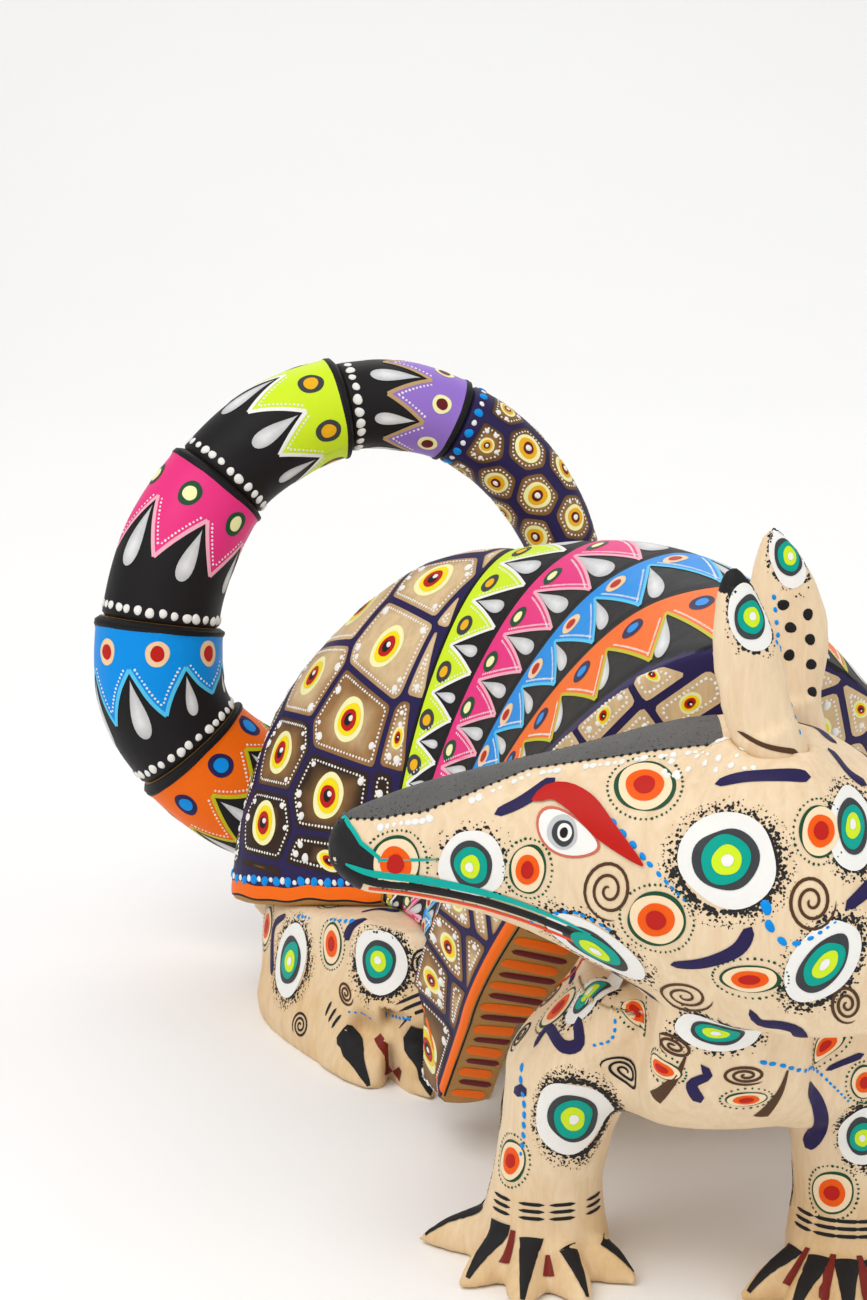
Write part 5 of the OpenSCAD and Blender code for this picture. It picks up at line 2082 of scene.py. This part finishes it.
def paint_ears(p, left):
    """Motif and blue dashes; a brown slit at the root of the near ear, two columns of black dots on the far
    ear. The black tips come with the ears' skins.
    """
    if left:
        eye_mark(p, on_front(p, 60.5, 154.0), 6.6, 5.0, 100, 0.6)
        dashes = front_row(p, ((65.5, 149), (67.5, 144), (69.3, 138), (70.6, 131)))
        bead_run(p, dashes, 0.6, 0.55, gap=2.2)
        slit = front_row(p, ((58.5, 131.5), (63, 129.6), (70, 127.6)))
        worm_mark(p, slit, 0.55, look="brown")
    else:
        eye_mark(p, on_front(p, 70.4, 160.5), 6.2, 4.4, 100, 0.6)
        dots = ((69.5, 151), (74.5, 149), (71, 146.5), (75, 144), (75.3, 139), (75.6, 133.5), (70.8, 141))
        for where in front_row(p, dots):
            p.dot(where, 1.15, "black", lift=0.05, tall=0.2)
        dashes = front_row(p, ((67.6, 153), (68.3, 147), (69, 141), (69.6, 135)))
        bead_run(p, dashes, 0.6, 0.55, gap=1.9)


def paint_arch(p):
    """Dark brushed wedges where the front legs meet the chest."""
    wedges = (
        ((50, 64), (48.5, 59.5), (46, 55), (44.5, 52.5)),
        ((70.5, 60.5), (69.5, 56), (67.5, 51.5), (66, 48.5)),
    )
    for places in wedges:
        path = through(front_row(p, places))
        p.stroke(path, np.linspace(0.25, 1.7, len(path)), "brown", lift=0.12)


# ---------------------------------------------------------------- the stage
CAMERA_AT = np.array([0.0, -798.98, 279.46])
CAMERA_PITCH = 13.0  # degrees that the camera looks down


def make_stage():
    """Pale floor running up into a backdrop, soft lights and the camera."""
    low = cad_box[0][2]
    mesh = bpy.data.meshes.new("floor")
    profile = [(-3.0, 0.0), (1.2, 0.0)]
    for a in np.linspace(0.15, math.pi / 2, 10):
        profile.append((1.2 + 0.6 * math.sin(a), 0.6 - 0.6 * math.cos(a)))
    profile += [(1.8, 3.0)]
    points = [(x, y, z + low) for x in (-3.5, 3.5) for y, z in profile]
    n = len(profile)
    mesh.from_pydata(points, [], [(i, i + 1, n + i + 1, n + i)[::-1] for i in range(n - 1)])
    mesh.shade_smooth()
    floor = add_object("floor", mesh)
    paper, tree, shader = new_material("paper")
    noise = node(tree, "ShaderNodeTexNoise", Scale=30.0, Detail=4.0)
    tone = node(tree, "ShaderNodeMapRange", To_Min=0.93, To_Max=0.95)
    tree.links.new(noise.outputs["Fac"], tone.inputs["Value"])
    joined = tree.nodes.new("ShaderNodeCombineColor")
    for channel in ("Red", "Green", "Blue"):
        tree.links.new(tone.outputs["Result"], joined.inputs[channel])
    tree.links.new(joined.outputs["Color"], shader.inputs["Base Color"])
    shader.inputs["Roughness"].default_value = 0.7
    mesh.materials.append(paper)

    world = bpy.data.worlds.new("studio")
    bpy.context.scene.world = world
    world.use_nodes = True
    sky = world.node_tree.nodes["Background"]
    sky.inputs["Color"].default_value = (1.0, 0.99, 0.975, 1.0)
    sky.inputs["Strength"].default_value = 0.6
    lamps = (
        ("key", (-0.55, -0.75, 1.25), 1.1, 11.5, (1.0, 0.985, 0.96)),
        ("fill", (1.1, -0.7, 0.8), 1.2, 3.6, (0.96, 0.98, 1.0)),
        ("back", (0.1, 1.1, 1.2), 1.4, 6.0, (1.0, 1.0, 1.0)),
    )
    for name, at, size, power, tint in lamps:
        lamp = bpy.data.lights.new(name, "AREA")
        lamp.size = size
        lamp.energy = power
        lamp.color = tint
        made = add_object(name, lamp)
        made.location = at
        aim = Vector((0.0, 0.0, 0.07)) - Vector(at)
        made.rotation_euler = aim.to_track_quat("-Z", "Y").to_euler()

    bpy.context.scene.view_settings.view_transform = "Standard"
    lens = bpy.data.cameras.new("camera")
    lens.lens = 85
    lens.sensor_width = 36
    camera = add_object("camera", lens)
    camera.location = to_row(CAMERA_AT)
    camera.rotation_euler = (math.radians(90 - CAMERA_PITCH), 0.0, 0.0)
    bpy.context.scene.camera = camera


# ---------------------------------------------------------------- making everything
def skin_piece(name, nodes, body, reshape=None, tip_above=None, **how):
    """A carved skin over frame nodes; tip_above is the height where a black ear tip begins."""
    co, quads = carved(name, nodes, **how)
    if reshape:
        co = np.array([reshape(q) for q in co])
    looks = "skin"
    if tip_above:
        looks = ["soot_flat" if co[list(f)].mean(0)[2] > tip_above else "skin" for f in quads]
    piece = Piece(name)
    # each point's tone: partly the legs' warmer colour, partly painted shade that darkens them low down
    piece.add(co, quads, looks, [tone_and_painted_shade(q) for q in co])
    return piece.build(body, replaces=nodes, slot="skin_wood")


def skin_corners(skin):
    """Lowest and highest corners of a skin in design millimetres."""
    co = to_design(vertex_rows(skin.data))
    return co.min(0), co.max(0)


def tone_and_painted_shade(q):
    """Paler above and browner low down near the ground: partly the legs' warmer tone, partly painted shade."""
    return 0.42 + 0.48 * smooth((q[2] - 4) / 72)


def dress_frame_nodes():
    """Hidden pegs keep their frame shape and get bare wood."""
    for name in ("tail_dowels", "leg_dowels", "neck_dowels", "shell_dowels"):
        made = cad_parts[name]
        made.data.materials.clear()
        made.data.materials.append(PAINT["raw"])


dress_frame_nodes()
shell_skin = make_shell()
fore = skin_piece("fore_body", ["head", "chest", "front_leg_right", "front_leg_left"], "figure",
                  keep=toes_hold, reshape=body_shape, fill=SHOULDERS, soften=chest_soft)
hind = {}
for k, side in ((1, "right"), (-1, "left")):
    hind[k] = skin_piece("hind_leg_" + side, ["rear_leg_" + side], "figure", keep=toes_hold,
                         reshape=lambda q, k=k: hind_shape(q, k))
belly = skin_piece("belly", ["torso"], "figure", voxel=1.5)
near_ear = skin_piece("ear_left_skin", ["ear_left"], "ear_l", voxel=0.6, rounds=12,
                      tip_above=158.6, reshape=near_leaf)
far_ear = skin_piece("ear_right_skin", ["ear_right"], "ear_r", voxel=0.6, rounds=12,
                     tip_above=168.0, reshape=far_leaf)

FRONT_SIDE = np.array([0.0, -1.0, 0.0])
# what fills the hidden skin: kind, size, how many
HEAD_PLAN = (("eye", 8.5, 9), ("eye", 6.5, 8), ("sun", 3.2, 16), ("spiral", 4.6, 14), ("worm", 5.5, 14),
             ("beads", 6.0, 12))
LEG_PLAN = (("eye", 8.0, 3), ("eye", 6.0, 3), ("sun", 2.9, 6), ("spiral", 4.0, 5), ("worm", 5.0, 5),
            ("beads", 5.0, 5))
HAUNCH_PLAN = (("eye", 7.0, 2), ("sun", 3.0, 4), ("spiral", 4.0, 3), ("worm", 5.0, 3), ("beads", 5.0, 3))

marks = Piece("fore_marks")
p = Painter(Skin([fore]), marks)
taken = paint_face(p)
paint_eye(p)
paint_snout(p)
paint_front_toes(p)
paint_arch(p)
taken += [(on_front(p, 25.5, 111), 9.0)] + [(on_head(p, x, 0), 9.0) for x in range(-15, 60, 8)]
scatter(p, (-20, -250, 62), (105, -150, 132), HEAD_PLAN, taken, FRONT_SIDE)
scatter(p, (5, -200, 18), (45, -150, 70), LEG_PLAN, taken, FRONT_SIDE)
scatter(p, (66, -210, 18), (112, -155, 70), LEG_PLAN, taken, FRONT_SIDE)
marks.build("figure", slot="skin_wood")
for k, name in ((1, "hind_right_marks"), (-1, "hind_left_marks")):
    marks = Piece(name)
    p = Painter(Skin([hind[k]]), marks)
    taken = paint_hind_leg(p, k)
    paint_hind_toes(p, k)
    low, high = skin_corners(hind[k])
    outward = unit(rump_point(-30, 60, 0, k) - rump_point(0, 0, 0, k))
    scatter(p, low, high, HAUNCH_PLAN, taken, outward)
    marks.build("figure", slot="skin_wood")
for ear, name, body in ((near_ear, "ear_left_marks", "ear_l"), (far_ear, "ear_right_marks", "ear_r")):
    marks = Piece(name)
    paint_ears(Painter(Skin([ear]), marks), left=body == "ear_l")
    marks.build(body, slot="skin_wood")

TAIL_SLOTS = {"tail_orange": "orange_wood", "tail_blue": "blue_wood", "tail_pink": "pink_wood",
    "tail_lime": "lime_wood", "tail_violet": "violet_wood", "tail_tip": "brown_wood"}
for cut in CUTS:
    tail, piece = make_tail(cut)
    if tail.node == "tail_orange":
        add_tenon(piece)
    slot = TAIL_SLOTS[tail.node]
    made = piece.build("tail", replaces=[tail.node], smooth_angle=60, slot=slot)
    marks = Piece(tail.node + "_paint")
    painter = Painter(Skin([made]), marks)
    if tail.tip:
        paint_tail_tip(painter, tail)
    else:
        paint_tail(painter, tail)
    marks.build("tail", slot=slot)

on_shell = Skin([shell_skin])
for i, look in enumerate(BAND_LOOKS):
    marks = Piece(look[0] + "_band_paint")
    paint_band(Painter(on_shell, marks), i)
    marks.build("figure", slot="shell_wood")
for name, painting in (("shell_rim_paint", paint_rim), ("flap_front_paint", paint_front_face),
                       ("rump_cells", paint_rump), ("shield_cells", paint_shield)):
    marks = Piece(name)
    painting(Painter(on_shell, marks))
    marks.build("figure", slot="shell_wood")

make_stage()
